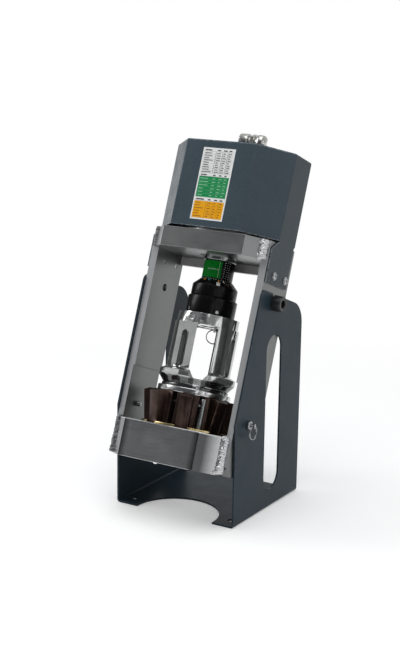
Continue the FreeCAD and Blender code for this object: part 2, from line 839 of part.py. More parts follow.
# Pusher and pressure ring: the machined yoke that drives the dies down the cone

def make_pusher():
    body = new_body("pusher", head_place + " * " + place(0, 0, 0, (0, 0, 1), size.pusher_turn))
    flange_low = ring_top + size.flange_above_foot
    flange_top = flange_low + size.flange_height
    step = size.flange_radius - size.pusher_radius
    turn(body, "pusher_profile", [
        (size.spigot_radius, pusher_top), (size.pusher_head_radius, pusher_top),
        (size.pusher_head_radius, head_low), (size.pusher_radius, head_low),
        (size.pusher_radius, flange_top + step / 2), (size.flange_radius, flange_top),
        (size.flange_radius, flange_low), (size.pusher_radius, ring_top + size.foot_height),
        (size.foot_radius, ring_top + size.foot_height), (size.foot_radius, ring_top),
        (size.pusher_bore_radius, ring_top), (size.pusher_bore_radius, head_low), (size.spigot_radius, head_low),
    ])
    facets = new_sketch(body, "flange_facets", "XY_Plane", ring_top + size.foot_height)
    reach = size.flange_facet / cosine(22.5)
    draw_outline(facets, [(reach * cosine(45 * k + 22.5), reach * sine(45 * k + 22.5)) for k in range(8)])
    draw_circle(facets, 0, 0, size.flange_radius * 1.2)
    cut(body, facets, flange_top + step - ring_top - size.foot_height, reverse=True)
    window = new_sketch(body, "window", "XZ_Plane")
    half = size.window_width / 2
    low = ring_top + size.window_low
    high = pusher_top - size.window_top
    draw_outline(window, [
        (-half, high), (half, high), (half, low + size.window_taper), (size.window_tip / 2, low),
        (-size.window_tip / 2, low), (-half, low + size.window_taper),
    ])
    opened = cut(body, window, size.flange_radius * 2 + 2, both=True)
    corners = straight_edges(opened, "Y", [(half, high), (-half, high)])
    round_edges(body, opened, "window_corners", corners, size.window_round)
    document.recompute()
    for side, word in ((-1, "front"), (1, "rear")):
        flat = new_sketch(body, "flange_gap_" + word, "XY_Plane", ring_top)
        ends = sorted([size.foot_radius * side, size.flange_radius * 1.2 * side], key=lambda end: end.value)
        draw_rectangle(flat, -size.flange_gap / 2, ends[0], size.flange_gap / 2, ends[1])
        cut(body, flat, flange_top + step - ring_top, reverse=True)
    far = size.flange_radius * 1.2
    low = flange_top + step / 3
    for word, angle in (("front", -size.leg_flat_angle), ("rear", 180 - size.leg_flat_angle)):
        flat = new_sketch(body, "leg_flat_" + word, "YZ_Plane", 0, angle)
        draw_outline(flat, [
            (-size.leg_flat, head_low), (-far, head_low), (-far, low), (-size.leg_flat - step * 2 / 3, low),
            (-size.leg_flat - step / 4, low + step / 3), (-size.leg_flat, low + step * 3 / 4),
        ])
        cut(body, flat, size.leg_flat_width, both=True)
    for word, angle in (("left", -size.left_slot_angle), ("right", size.right_slot_angle)):
        slot = new_sketch(body, "leg_slot_" + word, "XZ_Plane", 0, angle)
        radius = size.leg_slot_width / 2
        slot_top = pusher_top - size.leg_slot_top - radius
        draw_slot(slot, 0, slot_top - size.leg_slot_length + radius * 2, slot_top, radius)
        cut(body, slot, size.flange_radius * 2 + 2, both=True)
    slit_floor = size.pusher_head_radius - size.slit_depth
    reach = size.flange_radius - slit_floor
    half = size.slit_width / 2
    slit = new_sketch(body, "leg_slit", "XZ_Plane", slit_floor, size.right_slot_angle)
    draw_rectangle(slit, -half, slot_top, half, pusher_top + 1)
    cut(body, slit, reach, reverse=True)
    for number, angle in enumerate((-35, -12.5), start=1):
        mark = new_sketch(body, "head_mark_%d" % number, "XZ_Plane", size.pusher_head_radius - size.mark_depth, angle)
        draw_circle(mark, 0, pusher_top - size.mark_drop, size.mark_radius)
        cut(body, mark, size.mark_depth * 2, reverse=True)
    socket = new_sketch(body, "lock_pin_socket", "XY_Plane", head_low)
    draw_circle(socket, size.pusher_pin_side, -size.pusher_pin_forward, size.pusher_pin_radius)
    cut(body, socket, size.pusher_pin_length, reverse=True)
    keep(body, "pusher")


def make_pressure_ring():
    body = new_body("pressure_ring", head_place)
    edge = size.ring_edge
    turn(body, "ring_profile", [
        (size.ring_bore_radius, die_top), (size.ring_radius - edge, die_top), (size.ring_radius, die_top + edge),
        (size.ring_radius, ring_top - edge), (size.ring_radius - edge, ring_top), (size.ring_bore_radius, ring_top),
    ])
    keep(body, "pressure_ring")


def make_pusher_pin():
    """The lock pin stands up in the roof of the pusher's hollow, with its pull ring hanging below."""
    pin_place = head_place + " * " + place(0, 0, 0, (0, 0, 1), size.pusher_turn) + " * " + place(
        size.pusher_pin_side, -size.pusher_pin_forward, 0)
    body = new_body("pusher_pin", pin_place)
    hub_low = head_low - size.pusher_hub_height
    turn(body, "pusher_pin_profile", [
        (0, hub_low), (size.pusher_hub_radius - 1, hub_low), (size.pusher_hub_radius, hub_low + 1),
        (size.pusher_hub_radius, head_low), (size.pusher_pin_radius, head_low),
        (size.pusher_pin_radius, head_low + size.pusher_pin_length), (0, head_low + size.pusher_pin_length),
    ])
    eye = new_sketch(body, "pusher_pin_eye", "XY_Plane", hub_low)
    draw_rectangle(eye, -size.index_eye_thickness / 2, -size.index_eye_height / 2,
                   size.index_eye_thickness / 2, size.index_eye_height / 2)
    pad(body, eye, size.index_eye_length, reverse=True)
    eye_middle = hub_low - size.index_eye_length / 2
    hole = new_sketch(body, "pusher_pin_eye_hole", "YZ_Plane")
    draw_circle(hole, 0, eye_middle, size.eye_hole_radius)
    cut(body, hole, size.index_eye_thickness + 2, both=True)
    keep(body, "pusher_pin")
    hang = place(0, 0, eye_middle, (1, 0, 0), size.pusher_ring_hang)
    drop = place(0, 0, -size.pusher_ring_radius, (1, 0, 0), 90)
    make_pull_ring("pusher_pin_ring", pin_place + " * " + hang + " * " + drop, size.pusher_ring_radius)


# Ram: rod, sleeve, adjuster dial and drum

def make_adjuster():
    drum = new_body("adjuster_drum", head_place)
    turn(drum, "drum_profile", [
        (size.rod_radius, pusher_top), (size.drum_radius - 1.5, pusher_top), (size.drum_radius, pusher_top + 1.5),
        (size.drum_radius, drum_top - 1), (size.drum_radius - 1, drum_top), (size.rod_radius, drum_top),
    ])
    screws = []
    for number, angle in enumerate((-30, 45), start=1):
        hole = new_sketch(drum, "drum_screw_hole_%d" % number, "XZ_Plane", 0, angle)
        height = pusher_top + size.drum_screw_radius * 2.2
        draw_circle(hole, 0, height, size.drum_screw_radius)
        cut(drum, hole, size.drum_radius + 1, reverse=True)
        screws.append(solid("Cylinder", "drum_screw_%d" % number, place(0, 0, 0, (0, 0, 1), angle) + " * " + place(
            0, -size.drum_radius + size.drum_screw_length, height, (1, 0, 0), 90),
            Radius=size.drum_screw_radius, Height=size.drum_screw_length))
    keep(drum, "adjuster_drum")
    keep(combine("Compound", "drum_screws", screws, head_place), "drum_screws")
    dial = new_body("adjuster_dial", head_place)
    bore = size.rod_radius + size.running_gap
    turn(dial, "dial_profile", [
        (bore, drum_top), (size.dial_radius - 1, drum_top), (size.dial_radius, drum_top + 1),
        (size.dial_radius, dial_top - size.dial_bevel), (size.dial_radius - size.dial_bevel, dial_top), (bore, dial_top),
    ])
    keep(dial, "adjuster_dial")
    sleeve = new_body("adjuster_sleeve", head_place)
    turn(sleeve, "sleeve_profile", [
        (size.rod_radius, dial_top), (size.sleeve_radius, dial_top),
        (size.sleeve_radius, gland_low), (size.rod_radius, gland_low),
    ])
    keep(sleeve, "adjuster_sleeve")


def make_ram():
    rod = new_body("ram_rod", head_place)
    piston_low = barrel_top - size.piston_height
    turn(rod, "rod_profile", [
        (0, pusher_top - size.spigot_length), (size.spigot_radius, pusher_top - size.spigot_length),
        (size.spigot_radius, pusher_top), (size.rod_radius, pusher_top), (size.rod_radius, piston_low),
        (size.piston_stud_radius, piston_low), (size.piston_stud_radius, barrel_top), (0, barrel_top),
    ])
    keep(rod, "ram_rod")
    piston = new_body("ram_piston", head_place)
    outer = size.barrel_bore_radius - size.running_gap
    groove_low = piston_low + (size.piston_height - size.seal_width) / 2
    groove_top = groove_low + size.seal_width
    turn(piston, "piston_profile", [
        (size.piston_stud_radius, piston_low), (outer, piston_low), (outer, groove_low),
        (outer - size.seal_depth, groove_low), (outer - size.seal_depth, groove_top), (outer, groove_top),
        (outer, barrel_top), (size.piston_stud_radius, barrel_top),
    ])
    keep(piston, "ram_piston")
    seal = new_body("piston_seal", head_place)
    turn(seal, "piston_seal_profile", [
        (outer - size.seal_depth, groove_low), (outer, groove_low), (outer, groove_top),
        (outer - size.seal_depth, groove_top),
    ])
    keep(seal, "piston_seal")


# Cylinder: barrel, cap and rod gland

def make_cylinder():
    barrel = new_body("cylinder_barrel", head_place)
    turn(barrel, "barrel_profile", [
        (size.barrel_bore_radius, top_plate_top), (size.barrel_radius, top_plate_top),
        (size.barrel_radius, barrel_top), (size.barrel_bore_radius, barrel_top),
    ])
    keep(barrel, "cylinder_barrel")
    cap = new_body("cylinder_cap", head_place)
    turn(cap, "cap_profile", [
        (0, barrel_top), (size.barrel_radius, barrel_top), (size.barrel_radius, cap_top - 2),
        (size.barrel_radius - 2, cap_top), (0, cap_top),
    ])
    port = new_sketch(cap, "port", "XY_Plane", cap_top)
    draw_circle(port, size.port_side, size.port_back, size.elbow_radius)
    cut(cap, port, size.elbow_thread_length)
    keep(cap, "cylinder_cap")
    gland = new_body("rod_gland", head_place)
    bore = size.rod_radius + size.running_gap
    seal_low = size.top_plate_height + size.seal_width
    seal_top = seal_low + size.seal_width
    turn(gland, "gland_profile", [
        (bore, gland_low), (size.collar_radius - 1, gland_low), (size.collar_radius, gland_low + 1),
        (size.collar_radius, size.top_plate_height), (size.gland_radius, size.top_plate_height),
        (size.gland_radius, top_plate_top), (bore, top_plate_top), (bore, seal_top),
        (bore + size.seal_depth, seal_top), (bore + size.seal_depth, seal_low), (bore, seal_low),
    ])
    keep(gland, "rod_gland")
    seal = new_body("rod_seal", head_place)
    turn(seal, "rod_seal_profile", [
        (bore, seal_low), (bore + size.seal_depth, seal_low), (bore + size.seal_depth, seal_top), (bore, seal_top),
    ])
    keep(seal, "rod_seal")


# Cover: an eight-sided sheet hood with two skirts screwed to the side plates

def make_cover():
    body = new_body("cylinder_cover", head_place)
    plan = new_sketch(body, "cover_plan", "XY_Plane", cover_low)
    corners = [
        (-cover_front_half, -size.cover_front), (cover_front_half, -size.cover_front),
        (cover_half, -size.cover_side_front), (cover_half, size.cover_side_rear),
        (cover_front_half, size.cover_rear), (-cover_front_half, size.cover_rear),
        (-cover_half, size.cover_side_rear), (-cover_half, -size.cover_side_front),
    ]
    draw_outline(plan, corners)
    block = pad(body, plan, size.cover_height)
    document.recompute()
    block = round_edges(body, block, "cover_bends", straight_edges(block, "Z", corners), size.cover_bend)
    document.recompute()
    top_face = [face for face in block.Shape.Faces if abs(face.CenterOfMass.z - cover_top.value) < 0.01][0]
    top_edges = ["Edge%d" % number for number, edge in enumerate(block.Shape.Edges, start=1)
                 if any(edge.isSame(rim) for rim in top_face.Edges)]
    block = bevel_edges(body, block, "cover_rim", top_edges, size.cover_bend / 2)
    document.recompute()
    open_face = ["Face%d" % number for number, face in enumerate(block.Shape.Faces, start=1)
                 if abs(face.CenterOfMass.z - cover_low.value) < 0.01]
    shell = body.newObject("PartDesign::Thickness", "cover_shell")
    shell.Base = (block, open_face)
    shell.setExpression("Value", size.cover_sheet.formula)
    shell.Reversed = True
    shell.Mode = 0
    shell.Join = 0
    document.recompute()
    for side, word in ((-1, "left"), (1, "right")):
        skirt = new_sketch(body, "skirt_" + word, "YZ_Plane", cover_half * side)
        corner = size.skirt_corner
        draw_outline(skirt, [
            (-size.skirt_front, skirt_low), (size.cover_side_rear - size.cover_bend, skirt_low),
            (size.cover_side_rear - size.cover_bend, cover_low + corner),
            (-size.cover_side_front + size.cover_bend, cover_low + corner),
            (-size.cover_side_front + size.cover_bend, cover_low), (-size.skirt_front, cover_low - corner),
        ])
        pad(body, skirt, size.cover_sheet, reverse=side > 0)
    holes = new_sketch(body, "skirt_holes", "YZ_Plane")
    for across in (-size.cover_screw_front, size.cover_screw_rear):
        draw_circle(holes, across, cover_screw_height, size.screw_radius)
    cut(body, holes, cover_half * 2 + 2, both=True)
    port = new_sketch(body, "cover_port", "XY_Plane", cover_top)
    draw_circle(port, size.port_side, size.port_back, size.cover_port_radius)
    cut(body, port, size.cover_sheet + 1)
    keep(body, "cylinder_cover")


def make_cover_screws():
    screws = []
    for side, word in ((-1, "left"), (1, "right")):
        for number, across in enumerate((-size.cover_screw_front, size.cover_screw_rear), start=1):
            name = "cover_screw_%s_%d" % (word, number)
            body = new_body(name, place(cover_half * side, across, cover_screw_height, (0, side, 0), 90))
            head = size.screw_head_height
            turn(body, name + "_profile", [
                (0, -size.screw_length), (size.screw_radius, -size.screw_length), (size.screw_radius, 0),
                (size.screw_head_radius, 0), (size.screw_head_radius, head / 2),
                (size.screw_head_radius - head / 2, head), (0, head),
            ])
            screws.append(body)
    keep(combine("Compound", "cover_screws", screws, head_place), "cover_screws")


# Oil inlet: elbow and quick coupler on top

def make_inlet():
    spot = place(size.port_side, size.port_back, cap_top)
    nut = solid("Prism", "elbow_nut", place(0, 0, 0), Circumradius=size.elbow_nut / 2 / cosine(30),
                Height=size.elbow_nut_height, Polygon=6)
    riser = solid("Cylinder", "elbow_riser", place(0, 0, -size.elbow_thread_length), Radius=size.elbow_radius,
                  Height=size.elbow_thread_length + size.inlet_rise)
    knuckle = new_body("elbow_knuckle")
    bulge = size.knuckle_radius
    turn(knuckle, "knuckle_profile", [
        (0, size.inlet_rise - bulge), (bulge * 0.7, size.inlet_rise - bulge), (bulge, size.inlet_rise - bulge * 0.6),
        (bulge, size.inlet_rise + bulge * 0.6), (bulge * 0.7, size.inlet_rise + bulge), (0, size.inlet_rise + bulge),
    ])
    arm = solid("Cylinder", "elbow_arm", place(0, 0, size.inlet_rise, (0, 1, 0), -90), Radius=size.elbow_radius,
                Height=size.elbow_arm)
    elbow = combine("MultiFuse", "port_elbow", [nut, riser, knuckle, arm], head_place + " * " + spot)
    keep(elbow, "port_elbow")
    coupler_place = head_place + " * " + place(
        size.port_side - size.elbow_arm, size.port_back, inlet_height, (0, 1, 0), -90)
    body = new_body("coupler_body", coupler_place)
    hexagon = new_sketch(body, "coupler_hexagon", "XY_Plane")
    corner = size.coupler_hex / 2 / cosine(30)
    draw_outline(hexagon, [(corner * cosine(60 * k), corner * sine(60 * k)) for k in range(6)])
    pad(body, hexagon, size.coupler_hex_length)
    end = size.coupler_hex_length + size.coupler_core_length
    turn(body, "coupler_core", [
        (0, size.coupler_hex_length / 2), (size.coupler_core_radius, size.coupler_hex_length / 2),
        (size.coupler_core_radius, end - 1), (size.coupler_core_radius - 1, end), (0, end),
    ])
    bore = new_sketch(body, "coupler_bore", "XY_Plane", end)
    draw_circle(bore, 0, 0, size.coupler_bore_radius)
    cut(body, bore, size.coupler_bore_depth)
    keep(body, "coupler_body")
    collar = new_body("coupler_collar", coupler_place)
    inner = size.coupler_core_radius + size.coupler_clearance
    outer = size.coupler_collar_radius
    low = end - size.coupler_collar_length
    turn(collar, "collar_profile", [
        (inner, low), (outer - 1, low), (outer, low + 1), (outer, end - 1), (outer - 1, end), (inner, end),
    ])
    keep(collar, "coupler_collar")


make_stand()
make_side_plate("side_plate_left", -1)
make_side_plate("side_plate_right", 1)
make_top_plate()
make_bowl()
make_cross_bar()
make_welds()
make_pivot_screws()
make_index_pin(-1, "left")
make_index_pin(1, "right")
make_guides()
for die_number in range(DIE_COUNT):
    make_die(die_number)
make_pusher()
make_pressure_ring()
make_pusher_pin()
make_adjuster()
make_ram()
make_cylinder()
make_cover()
make_cover_screws()
make_inlet()
document.recompute()

# Checks before anything is written
for item in document.Objects:
    if "Invalid" in item.State or "Error" in item.State:
        raise RuntimeError(item.Name + " could not be built")
for node in nodes:
    if node.Shape.isNull() or not node.Shape.isValid():
        raise RuntimeError(node.Label + " has no valid shape")

os.makedirs("parts", exist_ok=True)
for node in nodes:
    node.Shape.exportStep("parts/" + node.Label + ".step")
print(len(nodes), "sub-parts written")
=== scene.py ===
import math
import random

import bmesh
import bpy
from mathutils import Matrix, Vector, noise


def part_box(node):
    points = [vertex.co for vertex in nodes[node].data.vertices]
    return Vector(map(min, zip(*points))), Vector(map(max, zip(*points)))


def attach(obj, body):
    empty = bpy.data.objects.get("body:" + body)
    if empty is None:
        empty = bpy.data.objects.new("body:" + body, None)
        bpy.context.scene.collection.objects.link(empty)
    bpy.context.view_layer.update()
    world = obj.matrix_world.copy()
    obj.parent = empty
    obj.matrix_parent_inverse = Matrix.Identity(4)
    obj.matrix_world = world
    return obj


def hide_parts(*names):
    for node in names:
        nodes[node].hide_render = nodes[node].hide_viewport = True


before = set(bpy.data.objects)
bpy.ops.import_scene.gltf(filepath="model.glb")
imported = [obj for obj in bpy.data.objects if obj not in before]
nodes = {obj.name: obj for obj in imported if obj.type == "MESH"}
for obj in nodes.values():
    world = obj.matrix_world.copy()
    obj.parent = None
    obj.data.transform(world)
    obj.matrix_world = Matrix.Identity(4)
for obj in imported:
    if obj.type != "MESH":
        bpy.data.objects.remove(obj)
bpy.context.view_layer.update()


# Camera: stands at the right front of the machine, a little above it.
# It has the photograph's long lens and slight roll.
camera_place = Vector((1.0998, -1.8393, 0.7964))
camera_target = Vector((0.0037, -0.0379, 0.2749))
camera_roll = math.radians(0.84)
camera_lens, camera_sensor = 76.55, 36
camera = bpy.data.objects.new("camera", bpy.data.cameras.new("camera"))
bpy.context.scene.collection.objects.link(camera)
camera.data.lens = camera_lens
camera.data.sensor_width = camera_sensor
sight = (camera_target - camera_place).normalized()
level_right = sight.cross(Vector((0, 0, 1))).normalized()
level_up = level_right.cross(sight)
right = level_right * math.cos(camera_roll) + level_up * math.sin(camera_roll)
up = level_up * math.cos(camera_roll) - level_right * math.sin(camera_roll)
turned = Matrix((right, up, -sight)).transposed().to_4x4()
camera.matrix_world = Matrix.Translation(camera_place) @ turned
bpy.context.scene.camera = camera
bpy.context.scene.view_settings.view_transform = "Standard"


# Studio: a pale paper floor and a white surround, with soft lamps at the left, above and at the right.
# A low lamp and two narrow ones in front draw the lines of light on the bare metal.
# The surround is darker towards the operator's side, where a studio has no paper.
surround_dark, surround_pale = (0.095, 0.098, 0.102), (0.66, 0.67, 0.68)
floor_reach = 12.0
white_from, white_to = 0.45, 1.10
paper_glow = 0.29


def feed(tree, node, inputs):
    """Gives a shader node's sockets their values or links, by name or number."""
    for name, value in inputs.items():
        if isinstance(value, bpy.types.NodeSocket):
            tree.links.new(value, node.inputs[name])
        else:
            node.inputs[name].default_value = value


def add_node(tree, kind, inputs=None, **settings):
    """One shader node, with its settings and its inputs."""
    made = tree.nodes.new("ShaderNode" + kind)
    for name, value in settings.items():
        setattr(made, name, value)
    feed(tree, made, inputs or {})
    return made


def calculate(tree, operation, *values):
    """A math node's result."""
    return add_node(tree, "Math", dict(enumerate(values)), operation=operation).outputs[0]


def blend_colours(tree, factor, first, second):
    """A mix between two colours, each a link or three numbers."""
    first, second = [c if isinstance(c, bpy.types.NodeSocket) else (*c, 1) for c in (first, second)]
    return add_node(tree, "Mix", {0: factor, 6: first, 7: second}, data_type="RGBA").outputs[2]


def rescale(tree, value, low, high, new_low, new_high):
    """A value moved from one range to another, and held inside it."""
    spread = {"Value": value, "From Min": low, "From Max": high, "To Min": new_low, "To Max": new_high}
    return add_node(tree, "MapRange", spread).outputs[0]


def surface(tree, kind="Object"):
    """A surface's own point (Object) or facing (Normal); for the sky, the way one looks (Generated)."""
    return add_node(tree, "TexCoord").outputs[kind]


def new_material(name):
    """An empty material with its shader: (tree, shader)."""
    material = bpy.data.materials.new(name)
    material.use_nodes = True
    tree = material.node_tree
    tree.nodes.clear()
    shader = add_node(tree, "BsdfPrincipled")
    add_node(tree, "OutputMaterial", {"Surface": shader.outputs[0]})
    return tree, shader


def add_lamp(name, place, target, width, height, power):
    """A soft rectangular lamp that the camera doesn't see."""
    lamp = bpy.data.objects.new(name, bpy.data.lights.new(name, "AREA"))
    bpy.context.scene.collection.objects.link(lamp)
    lamp.data.shape = "RECTANGLE"
    lamp.data.size = width
    lamp.data.size_y = height
    lamp.data.energy = power
    lamp.location = place
    lamp.rotation_euler = (Vector(target) - Vector(place)).to_track_quat("-Z", "Y").to_euler()
    lamp.visible_camera = False


studio = bpy.context.scene.world or bpy.data.worlds.new("studio")
bpy.context.scene.world = studio
studio.use_nodes = True
sky = studio.node_tree
sky.nodes.clear()
heading = add_node(sky, "SeparateXYZ", {0: surface(sky, "Generated")}).outputs
behind = calculate(sky, "ADD", heading[1], calculate(sky, "MULTIPLY", heading[2], 0.45))
surround = blend_colours(sky, rescale(sky, behind, -0.60, 0.55, 0, 1), surround_dark, surround_pale)
seen = add_node(sky, "LightPath").outputs["Is Camera Ray"]
seen_white = blend_colours(sky, seen, surround, (1, 1, 1))
surround_light = add_node(sky, "Background", {"Color": seen_white, "Strength": 1.0})
add_node(sky, "OutputWorld", {"Surface": surround_light.outputs[0]})

add_lamp("left_lamp", place=(-1.8, -0.7, 1.3), target=(0, 0, 0.3), width=0.7, height=1.2, power=12)
add_lamp("top_lamp", place=(0.1, -0.5, 2.1), target=(0, 0, 0.2), width=1.4, height=1.4, power=14)
add_lamp("right_lamp", place=(1.9, -0.4, 0.9), target=(0, 0, 0.3), width=0.5, height=1.2, power=2.0)
add_lamp("low_lamp", place=(-1.75, -1.45, 0.75), target=(0, 0, 0.20), width=1.0, height=0.9, power=1.1)
add_lamp("strip_lamp", place=(1.65, -1.07, 0.88), target=(0, 0, 0.28), width=0.24, height=1.3, power=1.4)
add_lamp("front_strip", place=(1.28, -1.62, 0.98), target=(0, 0, 0.20), width=0.16, height=0.8, power=1.0)

floor_mesh = bpy.data.meshes.new("floor")
floor_corners = [(x * floor_reach, y * floor_reach, 0) for x, y in ((-1, -1), (1, -1), (1, 1), (-1, 1))]
floor_mesh.from_pydata(floor_corners, [], [(0, 1, 2, 3)])
floor = bpy.data.objects.new("floor", floor_mesh)
bpy.context.scene.collection.objects.link(floor)
tree, shader = new_material("studio_paper")
paper_grain = add_node(tree, "TexNoise", {"Scale": 60.0, "Detail": 3.0}).outputs[0]
rays = add_node(tree, "LightPath").outputs
shown = calculate(tree, "MAXIMUM", rays["Is Camera Ray"], rays["Is Glossy Ray"])
feed(tree, shader, {
    "Base Color": rescale(tree, paper_grain, 0, 1, 0.84, 0.88), "Roughness": 0.9,
    "Emission Strength": calculate(tree, "MULTIPLY", shown, paper_glow), "Emission Color": (1, 1, 1, 1)})
middle_out = add_node(tree, "VectorMath", {0: surface(tree)}, operation="LENGTH")
far = rescale(tree, middle_out.outputs["Value"], white_from, white_to, 0, 1)
glow = add_node(tree, "Emission", {"Color": (1, 1, 1, 1), "Strength": 1.0}).outputs[0]
whitened = calculate(tree, "MULTIPLY", shown, far)
paper = add_node(tree, "MixShader", {0: whitened, 1: shader.outputs[0], 2: glow})
feed(tree, tree.nodes["Material Output"], {"Surface": paper.outputs[0]})
floor.data.materials.append(bpy.data.materials["studio_paper"])


# Stand: one 3 mm steel sheet, cut, folded into a floor and two tall sides, and powder coated slate grey.
# The coat has a fine orange-peel skin and is rubbed lighter along its edges.
stand_grey, stand_rubbed = (0.018, 0.031, 0.042), (0.16, 0.17, 0.18)
flat_within, sharp_from = math.radians(0.4), math.radians(38)


def shader_group(name, inputs, outputs):
    """A node group: (tree, its inputs, a function that links a result to a named output)."""
    group = bpy.data.node_groups.new(name, "ShaderNodeTree")
    for label, kind, value in inputs:
        socket = group.interface.new_socket(label, in_out="INPUT", socket_type="NodeSocket" + kind)
        socket.default_value = value
    for label, kind in outputs:
        group.interface.new_socket(label, in_out="OUTPUT", socket_type="NodeSocket" + kind)
    entry = group.nodes.new("NodeGroupInput").outputs
    leave = group.nodes.new("NodeGroupOutput").inputs
    return group, entry, lambda label, result: group.links.new(result, leave[label])


def use_group(tree, name, **inputs):
    """A node group placed in a material. Its inputs are written with _ for spaces."""
    placed = tree.nodes.new("ShaderNodeGroup")
    placed.node_tree = bpy.data.node_groups[name]
    feed(tree, placed, {label.replace("_", " "): value for label, value in inputs.items()})
    return placed.outputs


def add_relief(tree, shader, height, strength, distance):
    """Fine relief on a finish; distance is its depth in metres."""
    relief = add_node(tree, "Bump", {"Height": height, "Strength": strength, "Distance": distance})
    feed(tree, shader, {"Normal": relief.outputs[0]})


group, entry, leave = shader_group(
    "worn_edges", [("Width", "Float", 0.001), ("Break Up", "Float", 300.0)], [("Mask", "Float")])
rounded = add_node(group, "Bevel", {"Radius": entry["Width"]}, samples=4).outputs[0]
flat = add_node(group, "NewGeometry").outputs["Normal"]
agreement = add_node(group, "VectorMath", {0: rounded, 1: flat}, operation="DOT_PRODUCT").outputs["Value"]
near_edge = rescale(group, agreement, 0.995, 0.86, 0, 1)
spots = add_node(group, "TexNoise", {
    "Vector": surface(group), "Scale": entry["Break Up"], "Detail": 3.0}).outputs[0]
leave("Mask", calculate(group, "MULTIPLY", near_edge, rescale(group, spots, 0.35, 0.62, 0, 1)))

group, entry, leave = shader_group(
    "clouding", [("Size", "Float", 20.0), ("Low", "Float", 0.0), ("High", "Float", 1.0)],
    [("Value", "Float")])
broad = add_node(group, "TexNoise", {
    "Vector": surface(group), "Scale": entry["Size"], "Detail": 4.0, "Roughness": 0.6}).outputs[0]
leave("Value", rescale(group, broad, 0.3, 0.7, entry["Low"], entry["High"]))

group, entry, leave = shader_group("orange_peel", [("Size", "Float", 700.0)], [("Height", "Float")])
spot = surface(group)
skin = add_node(group, "TexNoise", {"Vector": spot, "Scale": entry["Size"], "Detail": 2.0}).outputs[0]
finer = calculate(group, "MULTIPLY", entry["Size"], 1.6)
specks = add_node(group, "TexVoronoi", {"Vector": spot, "Scale": finer}).outputs["Distance"]
leave("Height", calculate(group, "ADD", skin, calculate(group, "MULTIPLY", specks, 0.35)))


def powder_coat(name, colour, rubbed, roughness, edge, gloss):
    """A baked powder coat on sheet steel, lighter at its edges: rubbed paint on the stand, a painted highlight
    along the cover's edges and bends.
    """
    tree, shader = new_material(name)
    shade = use_group(tree, "clouding", Size=9.0, Low=0.0, High=1.0)["Value"]
    coat = blend_colours(tree, shade, colour, [c * 1.16 for c in colour])
    # The edge colour goes on along sharp edges: worn paint on the stand, a painted highlight on the cover.
    wear = use_group(tree, "worn_edges", Width=edge, Break_Up=260.0)["Mask"]
    coat = blend_colours(tree, calculate(tree, "MULTIPLY", wear, 0.65), coat, rubbed)
    rough = use_group(tree, "clouding", Size=35.0, Low=roughness - 0.05, High=roughness + 0.07)["Value"]
    feed(tree, shader, {"Base Color": coat, "Roughness": rough, "Specular IOR Level": gloss})
    add_relief(tree, shader, use_group(tree, "orange_peel", Size=900.0)["Height"], 0.25, 0.00012)
    return bpy.data.materials[name]


def finish_node(name, material, edge=0.0):
    """Gives a CAD node its finish, and its sharp edges a small round of that width."""
    piece = nodes[name]
    if not piece.material_slots:
        piece.data.materials.append(material)
    for slot in piece.material_slots:
        slot.material = material
    if edge:
        joined = piece.modifiers.new("joined", "WELD")
        joined.merge_threshold = 0.00001
        flats = piece.modifiers.new("flats", "DECIMATE")
        flats.decimate_type = "DISSOLVE"
        flats.angle_limit = flat_within
        rounding = piece.modifiers.new("rounding", "BEVEL")
        rounding.width = edge
        rounding.segments = 2
        rounding.limit_method = "ANGLE"
        rounding.angle_limit = sharp_from
        rounding.harden_normals = True


stand_coat = powder_coat("stand_coat", stand_grey, stand_rubbed, roughness=0.34, edge=0.0014, gloss=0.12)
finish_node("stand_frame", stand_coat, 0.0005)


# Press frame: two 12 mm flat steel bars, a top plate, a die bowl and a cross bar behind, welded together.
# The bars are drawn along their length and sawn on their narrow faces; the plates are milled across.
# Two patches of the bowl, near the corners of its front, are painted dark: a painted reflection of the dark
# surround on its rounded corners.
lean = math.radians(20.7)
# Where the painted dark reflection on the bowl starts, is full, fades and ends, measured out from the middle.
reflection_start, reflection_full, reflection_fading, reflection_end = 0.054, 0.066, 0.074, 0.090
group, entry, leave = shader_group("ground_lines", [("Along", "Vector", (1.0, 1.0, 1.0))], [("Value", "Float")])
upright = add_node(group, "Mapping", {"Vector": surface(group), "Rotation": (lean, 0, 0)}).outputs[0]
stretched = add_node(group, "VectorMath", {0: upright, 1: entry["Along"]}, operation="MULTIPLY").outputs[0]
lines = add_node(group, "TexNoise", {
    "Vector": stretched, "Scale": 1.0, "Detail": 5.0, "Roughness": 0.65}).outputs[0]
leave("Value", rescale(group, lines, 0.25, 0.75, 0, 1))


def bare_steel(name, colour, along, roughness, depth=0.00003, clouds=14.0, metallic=1.0, rubbed=0.6,
               grain=0.12):
    """Bare metal with ground or turned lines; along says how many lines there are to the metre each way."""
    tree, shader = new_material(name)
    lines = use_group(tree, "ground_lines", Along=along)["Value"]
    shade = use_group(tree, "clouding", Size=clouds)["Value"]
    tone = calculate(tree, "ADD", calculate(tree, "MULTIPLY", lines, 0.45),
                     calculate(tree, "MULTIPLY", shade, 0.55))
    metal = blend_colours(tree, tone, [c * 0.72 for c in colour], colour)
    wear = use_group(tree, "worn_edges", Width=0.0009, Break_Up=420.0)["Mask"]
    bright = [min(1.0, c * 1.5 + 0.08) for c in colour]
    metal = blend_colours(tree, calculate(tree, "MULTIPLY", wear, rubbed), metal, bright)
    uneven = calculate(tree, "ADD", calculate(tree, "MULTIPLY", lines, grain), roughness - 0.03 - grain / 2)
    uneven = calculate(tree, "ADD", uneven, calculate(tree, "MULTIPLY", shade, 0.06))
    feed(tree, shader, {"Base Color": metal, "Roughness": uneven, "Metallic": metallic})
    add_relief(tree, shader, lines, 0.5, depth)
    return bpy.data.materials[name]


